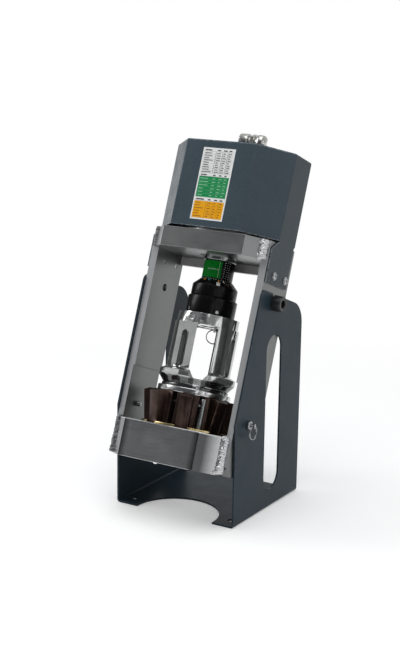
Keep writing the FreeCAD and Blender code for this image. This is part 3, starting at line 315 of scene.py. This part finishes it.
def lay_over(material, mask, colour):
    """A colour over a material's own, where the mask says."""
    tree = material.node_tree
    base = tree.nodes["Principled BSDF"].inputs["Base Color"]
    tree.links.new(blend_colours(tree, mask, base.links[0].from_socket, colour), base)


def size_along(tree, vector, direction):
    """How far a vector reaches along a direction."""
    return add_node(tree, "VectorMath", {0: vector, 1: direction}, operation="DOT_PRODUCT").outputs["Value"]


def size_across(tree, kind):
    """How far a surface's point or facing goes to the left or right of the machine's middle plane."""
    return calculate(tree, "ABSOLUTE", add_node(tree, "SeparateXYZ", {0: surface(tree, kind)}).outputs[0])


bar_steel = bare_steel("bar_steel", (0.215, 0.222, 0.22), (900.0, 900.0, 30.0), roughness=0.38)
tree = bar_steel.node_tree
to_front = size_along(tree, surface(tree, "Normal"), (0, math.cos(lean), -math.sin(lean)))
sawn = rescale(tree, calculate(tree, "ABSOLUTE", to_front), 0.8, 0.95, 0, 1)
lay_over(bar_steel, sawn, (0.44, 0.45, 0.46))
feed(tree, tree.nodes["Principled BSDF"], {"Metallic": rescale(tree, sawn, 0, 1, 1.0, 0.45)})
plate_steel = bare_steel("plate_steel", (0.32, 0.33, 0.33), (35.0, 35.0, 1400.0),
                         roughness=0.32, depth=0.00002)
bowl_steel = bare_steel("bowl_steel", (0.70, 0.71, 0.71), (28.0, 28.0, 700.0),
                        roughness=0.22, depth=0.000006, grain=0.05)
tree = bowl_steel.node_tree
out = size_across(tree, "Object")
# Painted reflection: a dark band on each side of the bowl's front, near its corners, stands for the dark
# surround mirrored there.
painted_dark_reflection = calculate(tree, "MULTIPLY", rescale(tree, out, reflection_start, reflection_full, 0, 0.93),
                  rescale(tree, out, reflection_fading, reflection_end, 1, 0))
lay_over(bowl_steel, painted_dark_reflection, (0.06, 0.06, 0.063))
cross_steel = bare_steel("cross_steel", (0.74, 0.74, 0.72), (500.0, 500.0, 500.0),
                         roughness=0.45, depth=0.00002, clouds=30.0, metallic=0.35)
finish_node("side_plate_left", bar_steel, 0.0007)
finish_node("side_plate_right", bar_steel, 0.0007)
finish_node("rear_cross_bar", cross_steel, 0.0006)
finish_node("top_plate", plate_steel, 0.0008)
finish_node("die_bowl", bowl_steel, 0.0014)


# Cover: an eight-sided hood of 2 mm sheet over the cylinder, folded and powder coated like the stand.
# Its two skirts hang beside the bars and are screwed to them.
# The cover's edge colour is near white: a painted highlight along its edges and bends, laid on where a coat
# would be rubbed.
cover_grey, cover_edge_highlight = (0.049, 0.070, 0.086), (0.85, 0.88, 0.90)
cover_coat = powder_coat("cover_coat", cover_grey, cover_edge_highlight, roughness=0.28, edge=0.0018, gloss=0.18)
tree = cover_coat.node_tree
# Painted shade: faces that point to the left or right, such as the skirts, are laid over with a darker grey.
lay_over(cover_coat, rescale(tree, size_across(tree, "Normal"), 0.90, 0.99, 0, 0.8), (0.020, 0.032, 0.042))
finish_node("cylinder_cover", cover_coat, 0.0009)


# Weld beads: six fillets laid by hand where the bars meet the edges of the top plate and of the bowl.
# Each is a crusty row of ripples, wider at its foot, and left as welded.
# Those at the left take a darker copy of the steel: painted shade.
pivot = Vector((0, 0.0079, 0.328))
head_place = Matrix.Translation(pivot) @ Matrix.Rotation(-lean, 4, "X")
bead_out, bead_front = 0.0932, 0.0448
bead_end, bead_flare = 0.07, 0.38
ripple_pitch, ripple_height = 0.0034, 0.0006
crust_coarse, crust_fine, crust_share = 420, 900, 0.22
bead_steps, bead_sides = 90, 28


def add_piece(name, mesh, body, material, place=head_place, sharp=sharp_from):
    """A finished mesh as a piece that rides on a body; its points are in the head's own upright frame."""
    piece = bpy.data.objects.new(name, mesh)
    bpy.context.scene.collection.objects.link(piece)
    piece.matrix_world = place
    for finish in (material if isinstance(material, list) else [material]):
        mesh.materials.append(finish)
    mesh.polygons.foreach_set("use_smooth", [True] * len(mesh.polygons))
    mesh.set_sharp_from_angle(angle=sharp)
    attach(piece, body)
    return piece


def mesh_from(name, shape):
    """A mesh made of a bmesh, with its faces turned outwards."""
    bmesh.ops.recalc_face_normals(shape, faces=shape.faces)
    mesh = bpy.data.meshes.new(name)
    shape.to_mesh(mesh)
    shape.free()
    return mesh


def join_rings(shape, rings):
    """Faces between rings of points, closed at both ends. A ring of one point is a tip."""
    rows = [[shape.verts.new(point) for point in ring] for ring in rings]
    for lower, upper in zip(rows, rows[1:]):
        count = max(len(lower), len(upper))
        for k in range(count):
            following = (k + 1) % count
            corners = [lower[k % len(lower)], lower[following % len(lower)],
                       upper[following % len(upper)], upper[k % len(upper)]]
            shape.faces.new(list(dict.fromkeys(corners)))
    for row in (rows[0], rows[-1]):
        if len(row) > 2:
            shape.faces.new(row)


def paint_from(shape, first, finish):
    """Gives a finish to the faces made since the count was first."""
    shape.faces.ensure_lookup_table()
    for face in shape.faces[first:]:
        face.material_index = finish


def lay_bead(shape, side, front, low, high, width, foot):
    """One crusty bead between a bar's edge and a plate. foot says how much wider it is at its lower end."""
    rings = []
    for step in range(bead_steps + 1):
        along = step / bead_steps
        height = low + (high - low) * along
        blunt = math.sqrt(max(0.0, 1 - max(0.0, 1 - min(along, 1 - along) / bead_end) ** 2))
        spread = max(0.0, 1 - along / bead_flare) ** 1.5
        reach = width * (1 + foot * spread) * blunt
        middle = Vector(((bead_out - 0.0040 * foot * spread) * side,
                         (bead_front + 0.0016 * foot * spread) * front, height))
        ring = []
        for k in range(bead_sides):
            turn = 2 * math.pi * k / bead_sides
            way = Vector((math.cos(turn) * side, math.sin(turn) * front, 0))
            ripple = (height / ripple_pitch + 0.9 * math.sin(turn * 2)) % 1.0
            skin_point = middle + way * width
            crust = noise.noise(skin_point * crust_coarse) + 0.6 * noise.noise(skin_point * crust_fine)
            rough_reach = reach * (1 + crust_share * crust) + ripple_height * (1 - ripple) * blunt
            ring.append(middle + way * rough_reach)
        rings.append(ring if blunt else [middle])
    first = len(shape.faces)
    join_rings(shape, rings)
    # Left-hand beads take the second, darker finish: painted shade.
    paint_from(shape, first, 0 if side > 0 else 1)


beads = bmesh.new()
for side in (-1, 1):
    lay_bead(beads, side, -1, low=0.0565, high=0.0890, width=0.0076 if side > 0 else 0.0050, foot=0.1)
    for front in (-1, 1):
        lay_bead(beads, side, front, low=-0.2695, high=-0.2100, width=0.0064, foot=0.45)
bead_steel = bare_steel("bead_steel", (0.66, 0.67, 0.68), (260.0, 260.0, 500.0),
                        roughness=0.26, depth=0.00008, clouds=60.0)
# A darker copy of the bead steel for the left-hand beads: painted shade.
bead_scale = bare_steel("bead_scale", (0.17, 0.17, 0.18), (260.0, 260.0, 500.0),
                        roughness=0.34, depth=0.00008, clouds=60.0)
weld_beads = add_piece("welded_beads", mesh_from("welded_beads", beads), "stand_and_head",
                       [bead_steel, bead_scale], sharp=math.radians(60))
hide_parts("weld_beads")


# Cover screws: four zinc-plated button heads with a hexagon socket, each on a plain washer.
# They go through the skirts into tapped holes in the bars.
skirt_outer, cover_screw_height = 0.1056, 0.0383
cover_screw_depths = (-0.016, 0.0215)


def place_out(side, out, depth, height):
    """A place on the head's left (-1) or right (1) side; z points out of it."""
    return Matrix.Translation((out * side, depth, height)) @ Matrix.Rotation(math.pi / 2 * side, 4, "Y")


def turned_mesh(shape, stations, place, count):
    """A closed turned form. Each station is a radius and a height, and may be a hexagon or knurled."""
    rings = []
    for radius, height, *outline in stations:
        if radius == 0:
            rings.append([place @ Vector((0, 0, height))])
            continue
        ring = []
        for k in range(count):
            angle = 2 * math.pi * k / count
            factor = 1.0
            if "hexagon" in outline:
                part = (math.degrees(angle) + 30) % 60 - 30
                factor = math.cos(math.radians(30)) / math.cos(math.radians(part))
            if "knurled" in outline and k % 2:
                factor = 0.975
            across, back = radius * factor * math.cos(angle), radius * factor * math.sin(angle)
            ring.append(place @ Vector((across, back, height)))
        rings.append(ring)
    join_rings(shape, rings)


button_head = [
    (0.0031, -0.014), (0.0031, 0), (0.0060, 0), (0.0062, 0.0002), (0.0062, 0.0007), (0.0060, 0.0009),
    (0.0050, 0.0009), (0.0051, 0.0014), (0.0047, 0.0023), (0.0038, 0.0030), (0.0028, 0.0033),
    (0.0024, 0.0032, "hexagon"), (0.0022, 0.0014, "hexagon"), (0, 0.0010)]
screws = bmesh.new()
for side in (-1, 1):
    for depth in cover_screw_depths:
        turned_mesh(screws, button_head, place_out(side, skirt_outer, depth, cover_screw_height), 48)
screw_zinc = bare_steel("screw_zinc", (0.48, 0.49, 0.50), (500.0, 500.0, 500.0),
                        roughness=0.27, depth=0.00001, clouds=90.0)
cover_screws = add_piece("button_screws", mesh_from("button_screws", screws), "stand_and_head", screw_zinc)
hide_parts("cover_screws")


# Size chart: a printed vinyl sheet stuck on the front of the cover.
# It has a plain, a green and an orange table, with plain bars where a chart has its figures.
chart_left, chart_right, chart_low, chart_high = -0.0282, 0.0282, 0.1026, 0.2145
chart_face = -0.0691
paper_rise, table_rise, rule_rise, bar_rise = 0.00018, 0.00025, 0.00030, 0.00032
table_left, table_right = 0.04, 0.96
chart_columns = ((0.07, 0.28), (0.45, 0.13), (0.64, 0.12), (0.81, 0.12))
column_rules, rule_width = (0.41, 0.61, 0.78), 0.008
ink_white, ink_green, ink_orange, ink_black, ink_mint, ink_umber = range(6)


def printed_vinyl(name, colour, roughness=0.34, gloss=0.25):
    """Ink on vinyl: slightly uneven, with a satin skin."""
    tree, shader = new_material(name)
    shade = use_group(tree, "clouding", Size=120.0, Low=0.0, High=1.0)["Value"]
    ink = blend_colours(tree, shade, colour, [c * 0.93 + 0.01 for c in colour])
    rough = rescale(tree, shade, 0, 1, roughness - 0.04, roughness + 0.06)
    feed(tree, shader, {"Base Color": ink, "Roughness": rough, "Specular IOR Level": gloss})
    add_relief(tree, shader, use_group(tree, "orange_peel", Size=1500.0)["Height"], 0.15, 0.00005)
    return bpy.data.materials[name]


def add_block(shape, low, high, finish):
    """A closed box between two corners."""
    made = bmesh.ops.create_cube(shape, size=1)["verts"]
    for corner in made:
        corner.co = Vector([low[axis] if corner.co[axis] < 0 else high[axis] for axis in range(3)])
    for face in {face for corner in made for face in corner.link_faces}:
        face.material_index = finish


def chart_block(left, right, top, low, rise, finish):
    """A patch of the chart. Left, right, top and low are shares of its width and height."""
    width, height = chart_right - chart_left, chart_high - chart_low
    add_block(chart, (chart_left + width * left, chart_face - rise, chart_high - height * low),
              (chart_left + width * right, chart_face, chart_high - height * top), finish)


def chart_table(top, low, rows, ink, bar=0.38):
    """Rows of bars in four columns, with a thin line under each row. bar is a bar's share of its row."""
    pitch = (low - top) / rows
    for row in range(rows):
        first = top + pitch * row
        for left, most in chart_columns:
            reach = most * random.uniform(0.5, 1.0)
            bar_top, bar_low = first + pitch * (0.48 - bar / 2), first + pitch * (0.48 + bar / 2)
            chart_block(left, left + reach, bar_top, bar_low, bar_rise, ink)
        chart_block(table_left, table_right, first + pitch * 0.94, first + pitch * 0.98, rule_rise, ink)


random.seed(11)
chart = bmesh.new()
chart_block(0, 1, 0, 1, paper_rise, ink_white)
chart_block(table_left, table_right, 0.402, 0.690, table_rise, ink_green)
chart_block(table_left, table_right, 0.745, 0.978, table_rise, ink_orange)
chart_table(0.015, 0.055, 1, ink_black)
chart_table(0.060, 0.355, 9, ink_black, 0.30)
chart_table(0.362, 0.400, 1, ink_black)
chart_table(0.408, 0.686, 6, ink_mint, 0.24)
chart_table(0.700, 0.742, 1, ink_black)
chart_table(0.750, 0.974, 6, ink_umber, 0.28)
for rule in column_rules:
    chart_block(rule, rule + rule_width, 0.060, 0.355, rule_rise, ink_black)
    chart_block(rule, rule + rule_width, 0.750, 0.974, rule_rise, ink_umber)
chart_white = printed_vinyl("chart_white", (0.86, 0.87, 0.86))
chart_green = printed_vinyl("chart_green", (0.005, 0.26, 0.075))
chart_orange = printed_vinyl("chart_orange", (0.93, 0.42, 0.003))
chart_black = printed_vinyl("chart_black", (0.035, 0.035, 0.040))
chart_mint = printed_vinyl("chart_mint", (0.26, 0.56, 0.36))
chart_umber = printed_vinyl("chart_umber", (0.30, 0.12, 0.010))
add_piece("size_chart", mesh_from("size_chart", chart), "stand_and_head",
          [chart_white, chart_green, chart_orange, chart_black, chart_mint, chart_umber])


# Pivot screws: two black shoulder screws with knurled heads and a hexagon socket.
# They go through the stand's notches into the bars and carry the head.
bar_outer = 0.1027
screw_seat = 0.0033
screw_face = screw_seat + 0.016


def black_finish(name, colour, roughness, along=(300.0, 300.0, 900.0), gloss=0.5, rubbed=0.22):
    """Blackened or anodised metal and rubber: dark, with faint turned lines and rubbed edges."""
    tree, shader = new_material(name)
    lines = use_group(tree, "ground_lines", Along=along)["Value"]
    shade = use_group(tree, "clouding", Size=45.0)["Value"]
    paler = [c * 2.1 + 0.001 for c in colour]
    dark = blend_colours(tree, calculate(tree, "MULTIPLY", shade, 0.45), colour, paler)
    wear = use_group(tree, "worn_edges", Width=0.0007, Break_Up=500.0)["Mask"]
    dark = blend_colours(tree, calculate(tree, "MULTIPLY", wear, rubbed), dark, (0.30, 0.30, 0.31))
    rough = calculate(tree, "ADD", calculate(tree, "MULTIPLY", lines, 0.10), roughness - 0.05)
    feed(tree, shader, {"Base Color": dark, "Roughness": rough, "Specular IOR Level": gloss})
    add_relief(tree, shader, lines, 0.35, 0.00003)
    return bpy.data.materials[name]


shoulder_screw = [
    (0, -0.009), (0.0052, -0.009), (0.0060, -0.0082), (0.0060, 0), (0.0075, 0), (0.0075, screw_seat),
    (0.0113, screw_seat), (0.0118, screw_seat + 0.0006), (0.0118, screw_seat + 0.0022),
    (0.0120, screw_seat + 0.0026, "knurled"), (0.0120, screw_face - 0.0022, "knurled"),
    (0.0117, screw_face - 0.0016), (0.0107, screw_face), (0.0078, screw_face),
    (0.0069, screw_face - 0.0007, "hexagon"), (0.0068, screw_face - 0.0076, "hexagon"),
    (0, screw_face - 0.0092)]
shoulders = bmesh.new()
for side in (-1, 1):
    turned_mesh(shoulders, shoulder_screw, place_out(side, bar_outer, 0, 0), 96)
black_oxide = black_finish("black_oxide", (0.010, 0.010, 0.011), 0.42, along=(500.0, 500.0, 500.0))
pivot_screws = add_piece("shoulder_screws", mesh_from("shoulder_screws", shoulders), "stand_and_head",
                         black_oxide)
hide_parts("pivot_screws")


# Index pins: two zinc-plated pins with an eye, pushed through the stand's sides to hold the head.
# The pusher's locking pin is made the same way.
for name in ("index_pin_left", "index_pin_right", "pusher_pin"):
    finish_node(name, screw_zinc, 0.0003)


# Pull rings: three split rings of nickel-plated wire, each wound twice round.
# They are threaded through the pins' eyes, hang by their own weight and swing there.
ring_wire, ring_turns = 0.00072, 2.0
pin_ring_radius, pin_ring_pitch = 0.0105, 0.0013
pusher_ring_radius, pusher_ring_pitch = 0.0106, 0.0014
pusher_turn = math.radians(31.4)
ring_hang = math.radians(17.9)


def wire_mesh(name, points, wire):
    """A round wire along a row of points, with closed ends."""
    line = bpy.data.curves.new(name + "_line", "CURVE")
    line.dimensions = "3D"
    line.bevel_depth = wire
    line.bevel_resolution = 3
    line.use_fill_caps = True
    path = line.splines.new("POLY")
    path.points.add(len(points) - 1)
    for point, spot in zip(path.points, points):
        point.co = (*spot, 1)
    holder = bpy.data.objects.new(name + "_line", line)
    bpy.context.scene.collection.objects.link(holder)
    bpy.context.view_layer.update()
    mesh = bpy.data.meshes.new_from_object(holder)
    bpy.data.objects.remove(holder)
    mesh.name = name
    return mesh


def coil_points(radius, pitch, turns, place, steps=72):
    """Points along a wire wound about the z axis."""
    points = []
    for k in range(int(steps * turns) + 1):
        turn = 2 * math.pi * k / steps
        rise = pitch * (k / steps - turns / 2)
        points.append(place @ Vector((radius * math.cos(turn), radius * math.sin(turn), rise)))
    return points


def node_middle(name):
    """A place at the middle of a CAD node."""
    low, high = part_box(name)
    return Matrix.Translation((Vector(low) + Vector(high)) / 2)


ring_nickel = bare_steel("ring_nickel", (0.36, 0.36, 0.35), (200.0, 200.0, 200.0),
                         roughness=0.22, depth=0.00001, clouds=200.0)
for word in ("left", "right"):
    place = (node_middle("pin_ring_" + word) @ Matrix.Rotation(math.pi / 2, 4, "Y")
             @ Matrix.Rotation(0.6, 4, "Z"))
    points = coil_points(pin_ring_radius, pin_ring_pitch, ring_turns, place)
    wound = wire_mesh("split_ring_" + word, points, ring_wire)
    ring = add_piece("split_ring_" + word, wound, "pin_ring_" + word, ring_nickel, Matrix())
    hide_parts("pin_ring_" + word)
place = (node_middle("pusher_pin_ring") @ Matrix.Rotation(-lean, 4, "X")
         @ Matrix.Rotation(pusher_turn, 4, "Z") @ Matrix.Rotation(ring_hang, 4, "X")
         @ Matrix.Rotation(math.pi / 2, 4, "X") @ Matrix.Rotation(0.5, 4, "Z"))
points = coil_points(pusher_ring_radius, pusher_ring_pitch, ring_turns, place)
wound = wire_mesh("split_ring_pusher", points, ring_wire)
ring = add_piece("split_ring_pusher", wound, "pusher_pin_ring", ring_nickel, Matrix())
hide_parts("pusher_pin_ring")


# Dies: eight hardened steel wedges with a grooved bore and a conical back, browned and oiled.
# In each gap a plain steel rod stands in for the small coil spring that pushes the dies apart.
# Brass guides are let into the bowl between the dies, and two steel posts stand on them.
die_dark, die_pale = (0.024, 0.014, 0.011), (0.075, 0.045, 0.037)
die_lines, die_rubbed = (0.11, 0.072, 0.060), (0.36, 0.29, 0.26)
tree, shader = new_material("browned_steel")
lines = use_group(tree, "ground_lines", Along=(900.0, 900.0, 25.0))["Value"]
brown = blend_colours(tree, use_group(tree, "clouding", Size=55.0)["Value"], die_dark, die_pale)
brown = blend_colours(tree, calculate(tree, "MULTIPLY", lines, 0.35), brown, die_lines)
wear = use_group(tree, "worn_edges", Width=0.0010, Break_Up=300.0)["Mask"]
brown = blend_colours(tree, calculate(tree, "MULTIPLY", wear, 0.7), brown, die_rubbed)
rough = rescale(tree, lines, 0, 1, 0.26, 0.38)
feed(tree, shader, {"Base Color": brown, "Roughness": rough, "Metallic": 0.85})
add_relief(tree, shader, lines, 0.5, 0.00004)
browned_steel = bpy.data.materials["browned_steel"]
spring_wire = bare_steel("spring_wire", (0.34, 0.34, 0.35), (400.0, 400.0, 400.0),
                         roughness=0.30, depth=0.00001, clouds=100.0)
for number in range(1, 9):
    finish_node("die_%d" % number, browned_steel, 0.0006)
    finish_node("die_spring_%d" % number, spring_wire)
guide_brass = bare_steel("guide_brass", (0.66, 0.52, 0.26), (60.0, 60.0, 1500.0), roughness=0.26)
finish_node("die_guides", guide_brass, 0.0003)
post_steel = bare_steel("post_steel", (0.34, 0.35, 0.35), (80.0, 80.0, 900.0),
                        roughness=0.30, depth=0.00002, clouds=60.0)
finish_node("guide_posts", post_steel, 0.0004)


# Pusher: the yoke that drives the dies down the bowl's cone, turned and milled from aluminium.
# Its flange is cut into facets.
# The neck under the flange is painted dark as shade, apart from a strip in its middle, left bare for the
# highlight that the lamps put there.
flange_low = -0.1340
lit_strip_half, lit_strip_fade = 0.0050, 0.0065
pusher_alloy = bare_steel("pusher_alloy", (0.56, 0.57, 0.565), (20.0, 20.0, 600.0),
                          roughness=0.15, depth=0.000004, clouds=26.0, metallic=0.94,
                          rubbed=0.35, grain=0.03)
tree = pusher_alloy.node_tree
spot = add_node(tree, "VectorMath", {0: surface(tree), 1: pivot}, operation="SUBTRACT").outputs[0]
height = size_along(tree, spot, (0, math.sin(lean), math.cos(lean)))
sideways = size_along(tree, spot, (
    math.cos(pusher_turn), math.sin(pusher_turn) * math.cos(lean), -math.sin(pusher_turn) * math.sin(lean)))
# Painted shade: the neck under the flange is darkened, except for a strip in its middle.
below = rescale(tree, height, flange_low - 0.0005, flange_low - 0.0025, 0, 0.85)
beside = rescale(tree, calculate(tree, "ABSOLUTE", sideways), lit_strip_half, lit_strip_fade, 0, 1)
painted_neck_shade = calculate(tree, "MULTIPLY", below, beside)
lay_over(pusher_alloy, painted_neck_shade, (0.06, 0.06, 0.06))
finish_node("pusher", pusher_alloy, 0.0005)


# Pressure ring: a turned and polished ring between the pusher's foot and the dies.
# A small clip of bent spring wire sits at its right front edge.
clip_reach, clip_height = 0.0583, -0.1492
clip_start, clip_end = math.radians(44), math.radians(76)
clip_loop, clip_wire = 0.0036, 0.00065
clip_steps, loop_steps, loop_step_turn = 12, 21, 14


def around(turn, radius, height):
    """A point on a circle about the head's axis; the turn goes from the front to the right."""
    return Vector((radius * math.sin(turn), -radius * math.cos(turn), height))


ring_steel = bare_steel("ring_steel", (0.66, 0.67, 0.67), (30.0, 30.0, 1500.0),
                        roughness=0.20, depth=0.00002, clouds=40.0)
finish_node("pressure_ring", ring_steel, 0.0004)
clip_path = [around(clip_start + (clip_end - clip_start) * k / clip_steps, clip_reach, clip_height + clip_loop)
             for k in range(clip_steps + 1)]
loop_middle = around(clip_end, clip_reach, clip_height)
onward = Vector((math.cos(clip_end), math.sin(clip_end), 0))
for k in range(1, loop_steps + 1):
    turn = math.radians(90 - loop_step_turn * k)
    rise = Vector((0, 0, clip_loop * math.sin(turn)))
    clip_path.append(loop_middle + onward * clip_loop * math.cos(turn) + rise)
add_piece("wire_clip", wire_mesh("wire_clip", clip_path, clip_wire), "ram", ring_steel)


# Bowl rim: the bowl's upper front edge, rounded over and polished bright.
# It runs along the front face and its two facets.
rim_height, rim_round = -0.2138, 0.0013
rim_corners = ((-0.0888, -0.0514), (-0.0653, -0.0749), (0.0653, -0.0749), (0.0888, -0.0514))
rim_path = [Vector((x, y, rim_height)) for x, y in rim_corners]
add_piece("bowl_rim", wire_mesh("bowl_rim", rim_path, rim_round), "stand_and_head", ring_steel)


# Adjuster: a black anodised drum and dial on the rod, turned by hand to set the crimp.
# The dial's bevel carries paint dots, fine marks and one white patch for its setting.
bevel_low_radius, bevel_low = 0.0355, 0.011
bevel_slope = math.pi / 4
dot_white, dot_orange, dot_teal, dot_red = range(4)
dot_profile = [(0, -0.0004), (0.0016, -0.0004), (0.0016, 0.00008), (0.0014, 0.00016), (0, 0.00018)]
dots_up, ticks_up, marks_high, marks_low, patch_up = 0.0112, 0.0143, 0.0085, 0.0050, 0.0040
dots = ((-11.5, dot_orange), (5, dot_teal), (36.8, dot_orange), (52.7, dot_white), (84, dot_red),
        (111, dot_red), (150, dot_orange), (190, dot_teal), (250, dot_white))
dial_anodised = black_finish("dial_anodised", (0.0022, 0.0022, 0.0023), 0.26, gloss=0.18, rubbed=0.10)
finish_node("adjuster_drum", dial_anodised, 0.0006)
finish_node("adjuster_dial", dial_anodised, 0.0006)
finish_node("drum_screws", screw_zinc)
mark_white = printed_vinyl("mark_white", (0.78, 0.78, 0.76), 0.45)
mark_orange = printed_vinyl("mark_orange", (0.85, 0.30, 0.02), 0.45)
mark_teal = printed_vinyl("mark_teal", (0.02, 0.30, 0.30), 0.45)
mark_red = printed_vinyl("mark_red", (0.42, 0.10, 0.06), 0.45)


def on_bevel(turn, up_slope):
    """A place on the dial's bevel: z points out of it, y up the slope."""
    radius = bevel_low_radius - up_slope * math.cos(bevel_slope)
    height = bevel_low + up_slope * math.sin(bevel_slope)
    return (Matrix.Rotation(math.radians(turn), 4, "Z") @ Matrix.Translation((0, -radius, height))
            @ Matrix.Rotation(math.pi / 2 - bevel_slope, 4, "X"))


def placed_block(shape, place, low, high, finish):
    """A closed box between two corners, moved to its place."""
    first = len(shape.verts)
    add_block(shape, low, high, finish)
    shape.verts.ensure_lookup_table()
    bmesh.ops.transform(shape, matrix=place, verts=shape.verts[first:])


def add_mark(place, width, height, finish):
    """A painted bar on the bevel, a tenth of a millimetre proud."""
    placed_block(marks, place, (-width / 2, -height / 2, -0.0004), (width / 2, height / 2, 0.00012), finish)


marks = bmesh.new()
for turn, finish in dots:
    first = len(marks.faces)
    turned_mesh(marks, dot_profile, on_bevel(turn, dots_up), 20)
    paint_from(marks, first, finish)
for turn in range(-180, 180, 9):
    add_mark(on_bevel(turn, ticks_up), 0.0008, 0.0016, dot_white)
for turn in range(56, 130, 7):
    add_mark(on_bevel(turn, marks_high), 0.0010, 0.0010, dot_white)
    add_mark(on_bevel(turn + 3, marks_low), 0.0010, 0.0010, dot_red)
add_mark(on_bevel(36, patch_up), 0.0058, 0.0078, dot_white)
add_piece("dial_marks", mesh_from("dial_marks", marks), "adjuster_dial",
          [mark_white, mark_orange, mark_teal, mark_red])


# Ram sleeve: a black anodised tube between the rod and the dial.
# A green vinyl band with white ticks is stuck round its front as the scale.
sleeve_radius = 0.024
band_low, band_high = 0.0235, 0.0498
band_start, band_sweep, band_steps = -78, 118, 40
tick_height = 0.0366
sleeve_anodised = black_finish("sleeve_anodised", (0.0020, 0.0021, 0.0021), 0.26, gloss=0.15, rubbed=0.06)
band_green = printed_vinyl("band_green", (0.0, 0.190, 0.016), 0.46, 0.03)
finish_node("adjuster_sleeve", sleeve_anodised, 0.0004)
band = bmesh.new()
inner, outer = sleeve_radius - 0.0003, sleeve_radius + 0.00015
turns = [math.radians(band_start + band_sweep * k / band_steps) for k in range(band_steps + 1)]
join_rings(band, [[around(turn, inner, band_low), around(turn, outer, band_low),
                   around(turn, outer, band_high), around(turn, inner, band_high)] for turn in turns])
# Each tick: its turn in degrees, its height on the sleeve, its width and how tall it is.
ticks = [(turn, tick_height, 0.0007, 0.0017) for turn in range(-12, 32, 6)]
ticks += [(30, tick_height, 0.0004, 0.0250)]
ticks += [(turn + 2 * (row % 2), 0.0250 + 0.0034 * row, 0.0011, 0.0008)
          for row in range(8) for turn in (50, 60, 70)]
for turn, height, width, tall in ticks:
    placed_block(band, Matrix.Rotation(math.radians(turn), 4, "Z"),
                 (-width / 2, -sleeve_radius - 0.00028, height - tall / 2),
                 (width / 2, -sleeve_radius + 0.0003, height + tall / 2), 1)
add_piece("sleeve_band", mesh_from("sleeve_band", band), "ram", [band_green, mark_white])


# Cylinder: a honed barrel with a cap, a gland that guides the hard-chromed rod, and rubber seals.
# All of it sits under the cover; only the gland's collar and the rod show below the top plate.
rod_chrome = bare_steel("rod_chrome", (0.74, 0.75, 0.76), (60.0, 60.0, 2000.0),
                        roughness=0.14, depth=0.00001, clouds=60.0)
barrel_steel = bare_steel("barrel_steel", (0.50, 0.51, 0.52), (40.0, 40.0, 1300.0), roughness=0.34)
gland_steel = bare_steel("gland_steel", (0.30, 0.31, 0.31), (60.0, 60.0, 2000.0),
                         roughness=0.16, depth=0.00001, clouds=60.0)
seal_nitrile = black_finish("seal_nitrile", (0.012, 0.012, 0.012), 0.60, along=(700.0, 700.0, 700.0))
finish_node("rod_gland", gland_steel, 0.0003)
finish_node("ram_rod", rod_chrome, 0.0003)
finish_node("ram_piston", barrel_steel)
finish_node("cylinder_barrel", barrel_steel)
finish_node("cylinder_cap", barrel_steel, 0.0004)
finish_node("rod_seal", seal_nitrile)
finish_node("piston_seal", seal_nitrile)


# Oil inlet: a forged elbow and a quick coupler with a sliding collar, both nickel plated.
# The elbow is screwed into the cap through the hole in the cover.
coupler_nickel = bare_steel("coupler_nickel", (0.66, 0.65, 0.62), (250.0, 250.0, 250.0),
                            roughness=0.20, depth=0.00002, clouds=90.0)
finish_node("port_elbow", coupler_nickel, 0.0006)
finish_node("coupler_body", coupler_nickel, 0.0004)
finish_node("coupler_collar", coupler_nickel, 0.0004)
